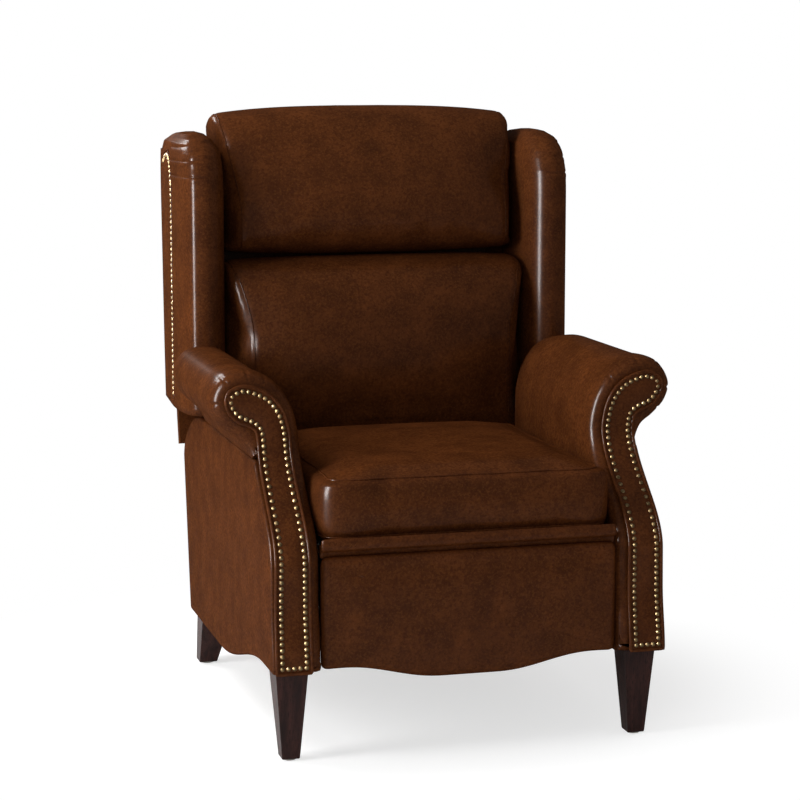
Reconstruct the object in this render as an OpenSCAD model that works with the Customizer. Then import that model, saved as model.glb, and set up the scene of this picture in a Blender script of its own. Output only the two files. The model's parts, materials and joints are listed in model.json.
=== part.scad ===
// Wingback recliner on high tapered legs.
// The upholstered base carries the arms and side walls. The winged back hinges on it,
// the seat slides forward as the back leans, and a scissor linkage lifts the footrest.
// The origin lies on the floor under the middle of the chair, and the seat faces -Y.

/* [Chair] */
// Depth from the arm fronts to the outside back
chair_d = 962; // [950:1:980]
// Width over the two arm rolls
chair_w = 836; // [826:1:850]
// Width over the side walls
body_w = 700; // [696:1:706]
// Clear width between the arms
seat_w = 528; // [524:1:532]
// Height of the arm rolls
arm_h = 652; // [646:1:660]
// Height of the wings
wing_h = 1044; // [1030:1:1056]
// Height of the head cushion
head_h = 1094; // [1084:1:1104]

/* [Legs] */
// Height of the front legs
front_leg_h = 160; // [150:1:170]
// Height of the rear legs
rear_leg_h = 97; // [88:1:105]
// Width of each leg at its top
leg_top = 57; // [50:1:60]
// Width of the front legs at the foot
front_foot = 31; // [26:1:40]
// Width of the rear legs at the foot
rear_foot = 35; // [28:1:42]
// Front of the front legs behind the arm fronts
front_leg_in = 36; // [30:1:44]
// Front of the rear legs behind the arm fronts
rear_leg_in = 686; // [670:1:700]
// Sideways splay of the rear feet
rear_splay = 10; // [0:1:12]
// Backward rake of the rear feet
rear_rake = 32; // [10:1:40]
// Thickness of the glides under the feet
glide_t = 3; // [2:1:5]

/* [Arms] */
// Height where the arm front starts to sweep back
sweep_z0 = 342; // [325:1:355]
// Height where the sweep ends under the scroll
sweep_z1 = 538; // [520:1:550]
// How far the scroll stands back from the arm fronts
sweep_d = 162; // [140:1:175]
// How far the lower arm front stands back
shin_d = 17; // [12:1:24]
// Height of the underside of the roll
roll_z = 504; // [498:1:508]
// Rear end of the arm rolls behind the arm fronts
arm_end = 609; // [600:1:611]
// Thickness of the outside arm panels
side_t = 12; // [9:1:15]
// Thickness of the plywood arm panels
ply_t = 20; // [16:1:24]
// Thickness of the nailed front facings
facing_t = 11; // [8:1:14]
// Width of the welt round the facings
welt_w = 8; // [6:1:10]
// Distance from the nail line to the edge of the facing
nail_in = 9; // [8:1:11]

/* [Nails] */
// Diameter of a nail head
nail_d = 8; // [6:0.5:9]
// Height of a nail head
nail_h = 2.6; // [2:0.1:3.5]
// Distance from nail to nail
nail_pitch = 10.4; // [9.6:0.1:12]

/* [Seat] */
// Front of the seat cushion behind the arm fronts
cushion_in = 32; // [28:1:40]
// Length of the seat cushion
cushion_l = 566; // [560:1:568]
// Height of the seat cushion's base
cushion_z = 374; // [372:1:378]
// Thickness of the seat cushion between its seams
cushion_t = 107; // [100:1:112]
// Crown of the cushions above their seams
crown = 22; // [14:1:26]
// Height of the seat frame
seat_frame_h = 52; // [44:1:56]
// Thickness of the seat frame's rails
rail_t = 24; // [20:1:28]
// Room for the mechanism between the seat frame and each arm
mech_w = 42; // [42:1:44]
// Thickness of the seat deck
deck_t = 12; // [8:1:13]

/* [Back] */
// Height of the recline pivot
pivot_z = 405; // [400:1:410]
// Recline pivot behind the arm fronts
pivot_in = 710; // [706:1:714]
// Lean of the back's frame, upright
back_rake = 5; // [4:0.5:6]
// Full recline of the back
recline = 32; // [20:1:32]
// Width over the front rolls of the wings
wing_w = 772; // [760:1:780]
// Width over the wings at the outside back
back_w = 740; // [736:1:744]
// How far the wings' inner sides stand outside the arms' inner sides
wing_set = 32; // [30:1:33]
// Height of the wings' lower edge
wing_z = 512; // [511:1:520]
// Thickness of the outside back
shell_t = 20; // [14:1:22]
// Thickness of the back frame's posts
post_t = 32; // [26:1:36]
// Depth of the lumbar cushion's side panels
lumbar_t = 166; // [156:1:168]
// Depth of the head cushion's side panels
head_t = 135; // [125:1:138]
// Height of the seam between the two back cushions
split_z = 803; // [790:1:815]

/* [Footrest] */
// Height of the footrest panel's top
panel_z = 355; // [350:1:356]
// Height of the panel's lower corners
panel_low_z = 166; // [160:1:175]
// Drop of the scallop below the lower corners
scallop = 28; // [15:1:32]
// Front of the footrest panel behind the arm fronts
panel_in = 20; // [16:1:24]
// Thickness of the leather pad
pad_t = 16; // [12:1:18]
// Thickness of the panel board
board_t = 18; // [15:1:20]

/* [Mechanism] */
// Half length of a scissor link
link_a = 90; // [88:1:91]
// Width of the links
link_w = 18; // [16:1:19]
// Thickness of the links and plates
steel_t = 4; // [3:0.5:4]
// Gap between neighbouring links
link_gap = 2; // [2:0.5:3]
// Radius of the pivot pins
pin_r = 4.5; // [4:0.5:5]
// Radius of the torque tube
tube_r = 7; // [6:0.5:8]
// Torque tube behind the arm fronts
tube_in = 115; // [113:1:118]
// Height of the torque tube
tube_z = 154; // [153:1:156]
// Thickness of the slide rollers
roller_t = 7; // [6:1:7]
// Radius of the slide rollers
roller_r = 9; // [8:0.5:10]

/* [Hidden] */
$fn = 40;

leather = [0.36, 0.19, 0.11];
leather_dark = [0.28, 0.14, 0.08];
walnut = [0.17, 0.08, 0.06];
birch = [0.72, 0.58, 0.40];
steel = [0.35, 0.36, 0.38];
brass = [0.62, 0.50, 0.30];

// Clearances and overruns shared by every fit
run_fit = 0.05;
soft_fit = 0.4;
slot_fit = 0.35;
over = 1;
closure_fit = 3.8;

// Half widths
arm_in = seat_w / 2;
seat_half = arm_in - mech_w;
wing_in = arm_in + wing_set;
body_out = body_w / 2;
roll_out = chair_w / 2;
side_in = body_out - side_t;
ply_in = side_in - ply_t;

// Angles of the scissor linkage, measured up from straight ahead
fold_closed = 82;
fold_open = 22;
fold_tilt = 12;

// A distance behind the arm fronts as a Y value
function yd(d) = d - chair_d / 2;
// Smooth step from 0 to 1
function ease(t) = (1 - cos(180 * min(1, max(0, t)))) / 2;
function mix(a, b, t) = a + (b - a) * t;
function unit(v) = v / norm(v);
function left_of(v) = [-v[1], v[0]];
// Catmull-Rom curve through open points
function curve(p, k = 4) = let (n = len(p)) concat([for (i = [0 : n - 2], j = [0 : k - 1])
    let (a = p[max(0, i - 1)], b = p[i], c = p[i + 1], e = p[min(n - 1, i + 2)], t = j / k)
    0.5 * (2 * b + (c - a) * t + (2 * a - 5 * b + 4 * c - e) * t * t
    + (3 * b - a - 3 * c + e) * t * t * t)], [p[n - 1]]);
// Closed outline moved outwards by d, for points that run anticlockwise
function grown(p, d) = let (n = len(p)) [for (i = [0 : n - 1])
    let (a = left_of(unit(p[i] - p[(i + n - 1) % n])), b = left_of(unit(p[(i + 1) % n] - p[i])))
    p[i] - d * (a + b) / (1 + a * b)];
// Running length along a path
function runs(p, i = 0, s = 0) = i == len(p) - 1 ? [s]
    : concat([s], runs(p, i + 1, s + norm(p[i + 1] - p[i])));
// Evenly spaced points along a path, pitch apart as near as whole steps allow
function spaced(p, pitch) = let (s = runs(p), n = len(p) - 1, steps = round(s[n] / pitch),
    tx = [for (i = [0 : n]) [s[i], p[i][0]]], ty = [for (i = [0 : n]) [s[i], p[i][1]]])
    [for (i = [0 : steps]) let (d = s[n] * i / steps) [lookup(d, tx), lookup(d, ty)]];

// A flat shape drawn in Y and Z becomes a plate that starts at x
module plate(x, t) { translate([x, 0, 0]) rotate([90, 0, 90]) linear_extrude(t) children(); }
// A flat shape drawn in X and Z becomes a solid between two Y values
module across(y0, y1) { translate([0, y1, 0]) rotate([90, 0, 0]) linear_extrude(y1 - y0) children(); }
module pair() { children(); mirror([1, 0, 0]) children(); }
module flip() { mirror([1, 0, 0]) children(); }
// A round pin along X through the Y and Z point p
module pin(p, x0, x1, r) { translate([x0, p[0], p[1]]) rotate([0, 90, 0]) cylinder(h = x1 - x0, r = r); }
// A flat bar with round eyes, a little narrower between them
waist_share = 0.86;
module bar(p, q, w, waist = waist_share) {
    translate(p) circle(d = w);
    translate(q) circle(d = w);
    translate(p) rotate(atan2(q[1] - p[1], q[0] - p[0])) translate([0, -waist * w / 2])
        square([norm(q - p), waist * w]);
}
// A slot with round ends: the channel runs as wide as the pin that slides in it
module slot(p, q, w) {
    n = left_of(unit(q - p)) * w / 2;
    translate(p) circle(d = w);
    translate(q) circle(d = w);
    polygon([p - n, q - n, q + n, p + n]);
}
// A closed box between two corners
module box(a, b) { translate(a) cube(b - a); }

// Lower edge of the side walls: level at the rear, and a serpentine rise to the arm front
sill_rear_in = 480;
sill_front_in = 100;
function sill(d) = mix(rear_leg_h, front_leg_h, ease((sill_rear_in - d) / (sill_rear_in - sill_front_in)));
// Distance of the arm front behind the front plane at a height
kick = 12;
kick_h = 120;
function front_d(z) = mix(shin_d, sweep_d, ease((z - sweep_z0) / (sweep_z1 - sweep_z0)))
    - kick * ease((front_leg_h + kick_h - z) / kick_h);
front_steps = 26;
function front_curve(z0, z1, back) = [for (i = [0 : front_steps])
    let (z = mix(z0, z1, i / front_steps)) [yd(front_d(z) + back), z]];
// Rounded rear corner of the side walls, as shares of its length and height
corner_in = 660;
corner_l = 192;
corner_z = 402;
wall_z = 502;
corner_shares = [[0, 1], [0.3, 0.93], [0.56, 0.76], [0.8, 0.5], [0.94, 0.25], [1, 0]];
wall_rear_in = 797;
function wall_corner() = curve([for (s = corner_shares)
    [yd(corner_in + corner_l * s[0]), mix(corner_z, wall_z, s[1])]], 3);
sill_steps = 14;
function sill_curve(rear) = [for (i = [0 : sill_steps])
    let (d = mix(rear, sill_front_in, i / sill_steps)) [yd(d), sill(d)]];
// Side view of a wall with its front a set distance behind the facing
function wall_front(back) = let (c = front_curve(front_leg_h, arm_h, back)) concat(
    [for (p = c) if (p[1] < wall_z) p], [[lookup(wall_z, [for (p = c) [p[1], p[0]]]), wall_z]]);
function wall_side(back) = concat(wall_front(back), wall_corner(), sill_curve(wall_rear_in));
// Side view of an arm, which has the roll above the wall
function arm_side(back) = concat(front_curve(front_leg_h, arm_h, back),
    [[yd(arm_end), arm_h]], sill_curve(arm_end));

// Cross-section of the arm roll, as shares of its width and height above the underside
roll_shares = [[0, 0], [0.013, 0.29], [0.084, 0.565], [0.234, 0.81], [0.455, 0.96], [0.675, 1],
    [0.883, 0.925], [1, 0.70], [0.948, 0.483], [0.805, 0.32], [0.66, 0.197], [0.56, 0]];
// Nail line round the scroll, as shares of the same width and height
scroll_shares = [[0.44, 0], [0.441, 0.2], [0.471, 0.362], [0.572, 0.45], [0.695, 0.502],
    [0.784, 0.603], [0.796, 0.735], [0.673, 0.8], [0.527, 0.767], [0.392, 0.693], [0.301, 0.588],
    [0.244, 0.469], [0.212, 0.344], [0.195, 0.216], [0.191, 0]];
roll_w = roll_out - arm_in;
roll_h = arm_h - roll_z;
function on_roll(s) = [arm_in + roll_w * s[0], roll_z + roll_h * s[1]];
function roll_curve() = curve([for (s = roll_shares) on_roll(s)]);
// Nails run up the outer edge, round the scroll, and down the inner edge
nail_low = front_leg_h + nail_in + 4 * over;
nail_toe = 4;
function nail_line() = let (r = curve([for (s = scroll_shares) on_roll(s)], 4))
    concat([[r[0][0] + nail_toe, nail_low]], r, [[r[len(r) - 1][0], nail_low]]);
function facing_outline(d) = grown(nail_line(), d);

module side_slab(pts, x0, x1) { plate(x0, x1 - x0) polygon(pts); }

// Outline of a leg seen from one side: a foot moved by m under a wider top
function taper(c, m, h, foot) = [[c + m - foot / 2, glide_t], [c + m + foot / 2, glide_t],
    [c + leg_top / 2, h], [c - leg_top / 2, h]];
module leg(x, d, h, foot, splay, rake) {
    y = yd(d + leg_top / 2);
    color(walnut) intersection() {
        across(y - leg_top, y + leg_top) polygon(taper(x, splay, h, foot));
        plate(x - leg_top, 2 * leg_top) polygon(taper(y, rake, h, foot));
    }
}
leg_x = body_out - leg_top / 2 - 9 * over;
rear_leg_x = body_out - leg_top / 2 - 4 * over;
rear_foot_x = rear_leg_x + rear_splay;
module front_leg_right() { leg(leg_x, front_leg_in, front_leg_h, front_foot, 0, 0); }
module front_leg_left() { flip() front_leg_right(); }
module rear_leg_right() { leg(rear_leg_x, rear_leg_in, rear_leg_h, rear_foot, rear_splay, rear_rake); }
module rear_leg_left() { flip() rear_leg_right(); }

glide_share = 0.7;
module foot_glides() {
    color(steel) pair() {
        translate([leg_x, yd(front_leg_in + leg_top / 2), 0])
            cylinder(h = glide_t, d = front_foot * glide_share);
        translate([rear_foot_x, yd(rear_leg_in + leg_top / 2 + rear_rake), 0])
            cylinder(h = glide_t, d = rear_foot * glide_share);
    }
}

// Plywood panel between the padded arm and the outside panel
module arm_panel_right() { color(birch) side_slab(wall_side(facing_t), ply_in, side_in); }
module arm_panel_left() { flip() arm_panel_right(); }
module side_wall_right() { color(leather) side_slab(wall_side(facing_t), side_in, body_out); }
module side_wall_left() { flip() side_wall_right(); }

// Padded arm: the roll's section carried back, cut to the swept front
module arm_right() {
    color(leather) intersection() {
        across(yd(0), yd(chair_d)) polygon(concat([[arm_in, 0], [ply_in, 0], [ply_in, roll_z]],
            [for (i = [len(roll_curve()) - 1 : -1 : 0]) roll_curve()[i]]));
        side_slab(arm_side(facing_t), arm_in - over, roll_out + over);
    }
}
module arm_left() { flip() arm_right(); }

// Slab that follows the arm front between two depths
module front_slab(a, b) {
    side_slab(concat(front_curve(front_leg_h, arm_h, a), [for (i = [front_steps : -1 : 0])
        front_curve(front_leg_h, arm_h, b)[i]]), arm_in - over, roll_out + over);
}
module arm_facing_right() {
    color(leather_dark) intersection() {
        across(yd(0), yd(chair_d)) polygon(facing_outline(nail_in - welt_w / 2));
        front_slab(0, facing_t);
    }
}
module arm_facing_left() { flip() arm_facing_right(); }
// Rim of piping round the facing, a little proud of it
welt_proud = 5;
module arm_welt_right() {
    color(leather) intersection() {
        across(yd(-welt_proud - over), yd(chair_d)) difference() {
            polygon(facing_outline(nail_in + welt_w / 2));
            polygon(facing_outline(nail_in - welt_w / 2));
        }
        front_slab(-welt_proud, facing_t);
    }
}
module arm_welt_left() { flip() arm_welt_right(); }

// Domed head of a nail, seated on the leather
module nail_head() {
    rotate_extrude($fn = 24) intersection() {
        translate([0, -nail_r + nail_h]) circle(r = nail_r);
        square([nail_d / 2, nail_h]);
    }
}
nail_r = (nail_d * nail_d / 4 + nail_h * nail_h) / (2 * nail_h);
nail_seat = 0.24;
module arm_nails_right() {
    pts = nail_line();
    p = spaced(concat(pts, [pts[0]]), nail_pitch);
    c = [for (q = front_curve(front_leg_h, arm_h, 0)) [q[1], q[0]]];
    color(brass) for (i = [0 : len(p) - 2]) {
        z = p[i][1];
        slope = atan((lookup(z + nail_d / 2, c) - lookup(z - nail_d / 2, c)) / nail_d);
        translate([p[i][0], lookup(z, c), z]) rotate([90 - slope, 0, 0])
            translate([0, 0, nail_seat]) nail_head();
    }
}
module arm_nails_left() { flip() arm_nails_right(); }

// Hardwood rails that tie the two side walls together
cross_rail_in = 425;
cross_rail_h = 60;
cross_rail_t = 24;
cross_rail_z = 108;
module cross_rail() {
    color(birch) box([-arm_in, yd(cross_rail_in), cross_rail_z],
        [arm_in, yd(cross_rail_in + cross_rail_t), cross_rail_z + cross_rail_h]);
}
rear_rail_h = 250;
rear_rail_t = 22;
rear_lean = 0.18;
rear_rail_set = 10;
module rear_rail() {
    d = wall_rear_in - rear_rail_t - rear_rail_set;
    color(leather) side_slab([[yd(d), rear_leg_h], [yd(d + rear_rail_t), rear_leg_h],
        [yd(d + rear_rail_t + rear_rail_h * rear_lean), rear_leg_h + rear_rail_h],
        [yd(d + rear_rail_h * rear_lean), rear_leg_h + rear_rail_h]], -ply_in, ply_in);
}
// Blocks over the rear legs, glued to the side panels and the rear rail
block_w = 60;
block_h = 58;
module corner_blocks() {
    color(birch) pair() box([ply_in - block_w, yd(rear_leg_in), rear_leg_h],
        [ply_in, yd(wall_rear_in - rear_rail_t - rear_rail_set), rear_leg_h + block_h]);
}

// Layers of steel from the seat frame outwards
layer1 = seat_half + steel_t + link_gap;
layer2 = layer1 + steel_t + link_gap;
layer3 = layer2 + steel_t + link_gap;
layer4 = layer3 + steel_t + link_gap;
layer5 = layer4 + steel_t + link_gap;
base_x = arm_in - 2 * steel_t;
bracket_x = base_x - steel_t - link_gap / 2;

// The seat travels as far as the back bracket's drive pin carries it
pivot = [yd(pivot_in), pivot_z];
drive_r = 75;
drive_pin = pivot + drive_r * [sin(recline / 2), -cos(recline / 2)];
travel = 2 * drive_r * sin(recline / 2);
drive_rise = drive_r * (1 - cos(recline / 2));
drive_pin_r = 6;

// Slots for the slide rollers
slide_z = 232;
slide_front_in = 400;
slide_rear_in = 606;
slide_front = [yd(slide_front_in), slide_z];
slide_rear = [yd(slide_rear_in), slide_z];
base_bar_w = 44;
pivot_boss = 34;
bolt_r = 4;
bolt_head_r = 8;
bolt_head_t = 4;
base_bolt_in = [325, 440, 530];
module base_plate_right() {
    rear_foot_p = [pivot[0] - pivot_boss, slide_z];
    color(steel) difference() {
        union() {
            plate(base_x, steel_t) {
                bar([yd(base_bolt_in[0]), slide_z], rear_foot_p, base_bar_w);
                bar(rear_foot_p, pivot, pivot_boss);
            }
            // Spacers stand the plate off the arm, and the back turns on the pivot stud
            for (d = base_bolt_in) pin([yd(d), slide_z], base_x + steel_t, arm_in, bolt_head_r);
            pin(pivot, bracket_x - over, base_x + steel_t, 2 * pin_r);
        }
        for (p = [slide_front, slide_rear])
            plate(base_x - over, steel_t + 2 * over) slot(p, p - [travel, 0], 2 * (roller_r + slot_fit));
        for (d = base_bolt_in) pin([yd(d), slide_z], base_x - over, arm_in + over, bolt_r + run_fit);
    }
}
module base_plate_left() { flip() base_plate_right(); }
module base_bolts() {
    color(steel) pair() for (d = base_bolt_in) {
        pin([yd(d), slide_z], base_x - bolt_head_t, base_x, bolt_head_r);
        pin([yd(d), slide_z], base_x, arm_in, bolt_r);
    }
}

// Seat frame, with sinuous springs and a deck on top
seat_front_in = 62;
seat_rear_in = 590;
spring_wire = 4;
frame_top = cushion_z - deck_t - spring_wire;
frame_low = frame_top - seat_frame_h;
seat_flange = 30;
flange_z = frame_top - seat_flange / 2;
seat_bolt_in = [215, 340, 470, 575];
screw_r = 3;
screw_l = 18;
screw_head_r = 6;
screw_head_t = 2.5;
module seat_frame() {
    color(birch) difference() {
        box([-seat_half, yd(seat_front_in), frame_low], [seat_half, yd(seat_rear_in), frame_top]);
        box([-seat_half + rail_t, yd(seat_front_in) + rail_t, frame_low - over],
            [seat_half - rail_t, yd(seat_rear_in) - rail_t, frame_top + over]);
        pair() for (d = seat_bolt_in)
            pin([yd(d), flange_z], seat_half - screw_l, seat_half + over, screw_r + run_fit);
    }
}
spring_count = 5;
spring_waves = 10;
spring_w = 46;
// Zigzag wire in the plane, with round turns, that runs along +Y
module zigzag(l, n) {
    r = l / n / 2;
    for (i = [0 : n - 1]) translate([0, l * (i + 1 / 2) / n]) {
        s = i % 2 == 0 ? 1 : -1;
        translate([s * (spring_w / 2 - r), 0]) difference() {
            circle(r = r + spring_wire / 2);
            circle(r = r - spring_wire / 2);
            translate([s > 0 ? -spring_w : 0, -spring_w / 2]) square([spring_w, spring_w]);
        }
        for (e = i == 0 ? [1] : i == n - 1 ? [-1] : [-1, 1]) translate([0, e * r]) if (e > 0)
            translate([-(spring_w / 2 - r), -spring_wire / 2]) square([spring_w - 2 * r, spring_wire]);
    }
    for (e = [0, l]) translate([e == 0 ? 0 : (n % 2 == 0 ? -1 : 0) * (spring_w / 2 - r), e - spring_wire / 2])
        square([spring_w / 2 - r, spring_wire]);
}
module seat_springs() {
    l = seat_rear_in - seat_front_in - rail_t;
    pitch = 2 * (seat_half - rail_t) / spring_count;
    color(steel) for (i = [0 : spring_count - 1])
        translate([(i - (spring_count - 1) / 2) * pitch, yd(seat_front_in + rail_t / 2), frame_top])
            linear_extrude(spring_wire) zigzag(l, spring_waves);
}
module seat_deck() {
    color(leather_dark) box([-seat_half, yd(seat_front_in), frame_top + spring_wire],
        [seat_half, yd(seat_rear_in), cushion_z]);
}
// Leather band with a rounded lip between the footrest panel and the cushion
band_in = 42;
band_low = 2.5;
module seat_band() {
    r = (cushion_z - panel_z - band_low) / 2;
    color(leather) side_slab(concat([[yd(seat_front_in), cushion_z], [yd(seat_front_in), panel_z + band_low]],
        [for (i = [0 : 10]) [yd(band_in + r) - r * sin(18 * i), panel_z + band_low + r - r * cos(18 * i)]]),
        -arm_in + 2 * soft_fit, arm_in - 2 * soft_fit);
}

// Boxed cushion: rings from the lower face, up the sides and over the crown.
// Each ring is a rounded rectangle whose sides draw in between the corners.
arc_n = 7;
edge_n = 5;
ring_n = 4 * (arc_n + edge_n);
// Each ring: its size, and its place between the seams
ring_shares = [[0.5, -1], [0.965, -1], [0.992, -0.94], [1, -0.8], [1.008, -0.3], [1.008, 0.3],
    [1, 0.8], [1.004, 0.97], [0.985, 1], [0.93, 1], [0.84, 1], [0.7, 1], [0.5, 1], [0.28, 1], [0.1, 1]];
draw_share = 0.014;
wide_share = 1.008;
function ring_arc(q, j, w, l, r) = let (a = 90 * q + 90 * j / (arc_n - 1),
    sx = q == 0 || q == 3 ? 1 : -1, sy = q < 2 ? 1 : -1)
    [sx * (w / 2 - r) + r * cos(a), sy * (l / 2 - r) + r * sin(a)];
function ring_point(i, w, l, r) = let (q = floor(i / (arc_n + edge_n)), j = i % (arc_n + edge_n))
    j < arc_n ? ring_arc(q, j, w, l, r)
    : let (t = (j - arc_n + 1) / (edge_n + 1), k = (q + 1) % 4, a = 90 * q + 90,
        p = mix(ring_arc(q, arc_n - 1, w, l, r), ring_arc(k, 0, w, l, r), t))
        p - draw_share * l * sin(180 * t) * [cos(a), sin(a)];
// The crown swells from every side and is highest in the middle
function swell(a) = 1 - pow(min(1, abs(a)), 3);
function lift(p, w, l) = swell(2 * p[0] / w) * swell(2 * p[1] / l);
module cushion(w, l, t, top, r) {
    m = len(ring_shares);
    pts = [for (s = ring_shares, j = [0 : ring_n - 1]) let (p = s[0] * ring_point(j, w, l, r))
        [p[0], p[1], s[1] * t / 2 + (s[1] < 1 ? 0 : top * lift(p, w, l))]];
    faces = concat([[for (j = [0 : ring_n - 1]) j]],
        [for (j = [0 : ring_n - 1]) [m * ring_n, (m - 1) * ring_n + (j + 1) % ring_n, (m - 1) * ring_n + j]],
        [for (i = [0 : m - 2], j = [0 : ring_n - 1]) let (k = (j + 1) % ring_n)
            each [[i * ring_n + j, (i + 1) * ring_n + j, (i + 1) * ring_n + k],
                [i * ring_n + j, (i + 1) * ring_n + k, i * ring_n + k]]]);
    polyhedron(concat(pts, [[0, 0, t / 2 + top]]), faces);
}
seat_corner_r = 46;
module seat_cushion() {
    color(leather) translate([0, yd(cushion_in + cushion_l / 2), cushion_z + cushion_t / 2])
        cushion((seat_w - 2 * soft_fit) / wide_share, cushion_l, cushion_t, crown, seat_corner_r);
}

// Scissor linkage, drawn folded
function ahead(a) = [-cos(a), sin(a)];
rise = fold_tilt + fold_closed;
fall = fold_tilt - fold_closed;
p_tube = [yd(tube_in), tube_z];
p_mid = p_tube + link_a * ahead(rise);
p_top = p_tube + 2 * link_a * ahead(rise);
p_slot = p_mid - link_a * ahead(fall);
p_low = p_mid + link_a * ahead(fall);
p_mid2 = p_top + link_a * ahead(fall);
p_hang = p_low + 2 * link_a * ahead(rise);
// Dog-leg end of the front link, which holds the control link
toe_l = 62.5;
toe_off = -14.3;
p_toe = p_mid2 + toe_l * ahead(fall) + toe_off * ahead(fall + 90);
control_l = 98.2;
control_a = 96.7;
p_ctrl = p_toe + control_l * ahead(control_a);
ctrl_drop = 54;
p_ctrl_pin = p_hang - [0, ctrl_drop];
slot_near = 2 * link_a * sin(fold_open);
slot_far = 2 * link_a * sin(fold_closed);

collar_r = pin_r + 2.5;
// A riveted pin that starts in one plate and ends in another, with a collar in the gap
module rivet(p, x0, x1, collar0, collar1) {
    pin(p, x0, x1, pin_r);
    pin(p, collar0, collar1 - run_fit, collar_r);
}
module hole(p, x, r = pin_r + run_fit) { pin(p, x - over, x + steel_t + over, r); }

module seat_plate_right() {
    flange_front = [yd(tube_in + 2 * tube_r), flange_z];
    flange_rear = [slide_rear[0], flange_z];
    arm_bar = 26;
    slot_dir = ahead(fold_tilt + 90);
    color(steel) difference() {
        union() {
            plate(seat_half, steel_t) {
                bar(p_tube, p_tube + (slot_far + pin_r) * slot_dir, 2 * pin_r + link_w);
                bar(flange_front, flange_rear, seat_flange);
                for (p = [slide_front, slide_rear]) bar(p, [p[0], flange_z], arm_bar);
                bar(p_tube, slide_front, arm_bar);
                bar(flange_rear, drive_pin, arm_bar);
            }
            // Axles of the slide rollers
            for (p = [slide_front, slide_rear]) {
                pin(p, seat_half, base_x - link_gap, roller_r);
                pin(p, base_x - link_gap, base_x + steel_t + link_gap, pin_r);
            }
        }
        hole(p_tube, seat_half, tube_r + run_fit);
        plate(seat_half - over, steel_t + 2 * over)
            slot(p_tube + slot_near * slot_dir, p_tube + slot_far * slot_dir, 2 * (pin_r + slot_fit));
        plate(seat_half - over, steel_t + 2 * over)
            slot(drive_pin, drive_pin - [0, drive_rise], 2 * (drive_pin_r + slot_fit));
        for (d = seat_bolt_in) hole([yd(d), flange_z], seat_half, screw_r + run_fit);
    }
}
module seat_plate_left() { flip() seat_plate_right(); }
// Screws that hold the plates to the seat frame
module seat_bolts() {
    color(steel) pair() for (d = seat_bolt_in) {
        pin([yd(d), flange_z], seat_half - screw_l, seat_half + steel_t, screw_r);
        pin([yd(d), flange_z], seat_half + steel_t, seat_half + steel_t + screw_head_t, screw_head_r);
    }
}
module slide_rollers() {
    color("white") pair() for (p = [slide_front, slide_rear]) difference() {
        pin(p, base_x - link_gap + run_fit, base_x - link_gap + roller_t, roller_r);
        pin(p, base_x - link_gap - over, base_x + roller_t + over, pin_r + run_fit);
    }
}

module torque_tube() {
    color(steel) difference() {
        pin(p_tube, -layer1 - steel_t, layer1 + steel_t, tube_r);
        pin(p_tube, -layer1 - steel_t - over, layer1 + steel_t + over, tube_r - steel_t / 2);
    }
}
// Lower link, welded to the torque tube
module lower_link_right() {
    color(steel) difference() {
        union() {
            plate(layer1, steel_t) {
                bar(p_tube, p_top, link_w);
                translate(p_tube) circle(r = tube_r + steel_t);
            }
            rivet(p_mid, layer1, layer2 + steel_t, layer1 + steel_t, layer2);
            rivet(p_top, layer1, layer3 + steel_t, layer1 + steel_t, layer3);
        }
        hole(p_tube, layer1, tube_r);
    }
}
module lower_link_left() { flip() lower_link_right(); }
// Crossing link, whose rear pin rides in the seat plate's slot
module crossing_link_right() {
    color(steel) difference() {
        union() {
            plate(layer2, steel_t) bar(p_slot, p_low, link_w);
            rivet(p_low, layer1, layer2, layer1 + steel_t + run_fit, layer2 + run_fit);
            rivet(p_slot, seat_half, layer2, seat_half + steel_t + run_fit, layer2 + run_fit);
        }
        hole(p_mid, layer2);
    }
}
module crossing_link_left() { flip() crossing_link_right(); }
// Upper link, which holds the footrest
module upper_link_right() {
    color(steel) difference() {
        plate(layer1, steel_t) bar(p_low, p_hang, link_w);
        hole(p_low, layer1);
        hole(p_mid2, layer1, pin_r + slot_fit);
        hole(p_hang, layer1);
    }
}
module upper_link_left() { flip() upper_link_right(); }
// Front link with its dog-leg toe
module front_link_right() {
    color(steel) difference() {
        union() {
            plate(layer3, steel_t) {
                bar(p_top, p_mid2, link_w);
                bar(p_mid2, p_toe, link_w);
            }
            rivet(p_mid2, layer1, layer3, layer1 + steel_t + run_fit, layer3 + run_fit);
            rivet(p_toe, layer3, layer4 + steel_t, layer3 + steel_t, layer4);
        }
        hole(p_top, layer3);
    }
}
module front_link_left() { flip() front_link_right(); }
// Control links, whose upper eyes are wide enough for the whole stroke
eye_r = pin_r + closure_fit;
module control_links() {
    color(steel) pair() difference() {
        plate(layer4, steel_t) {
            bar(p_toe, p_ctrl, link_w);
            translate(p_ctrl) circle(r = eye_r + steel_t);
        }
        hole(p_toe, layer4);
        hole(p_ctrl, layer4, eye_r);
    }
}

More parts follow.
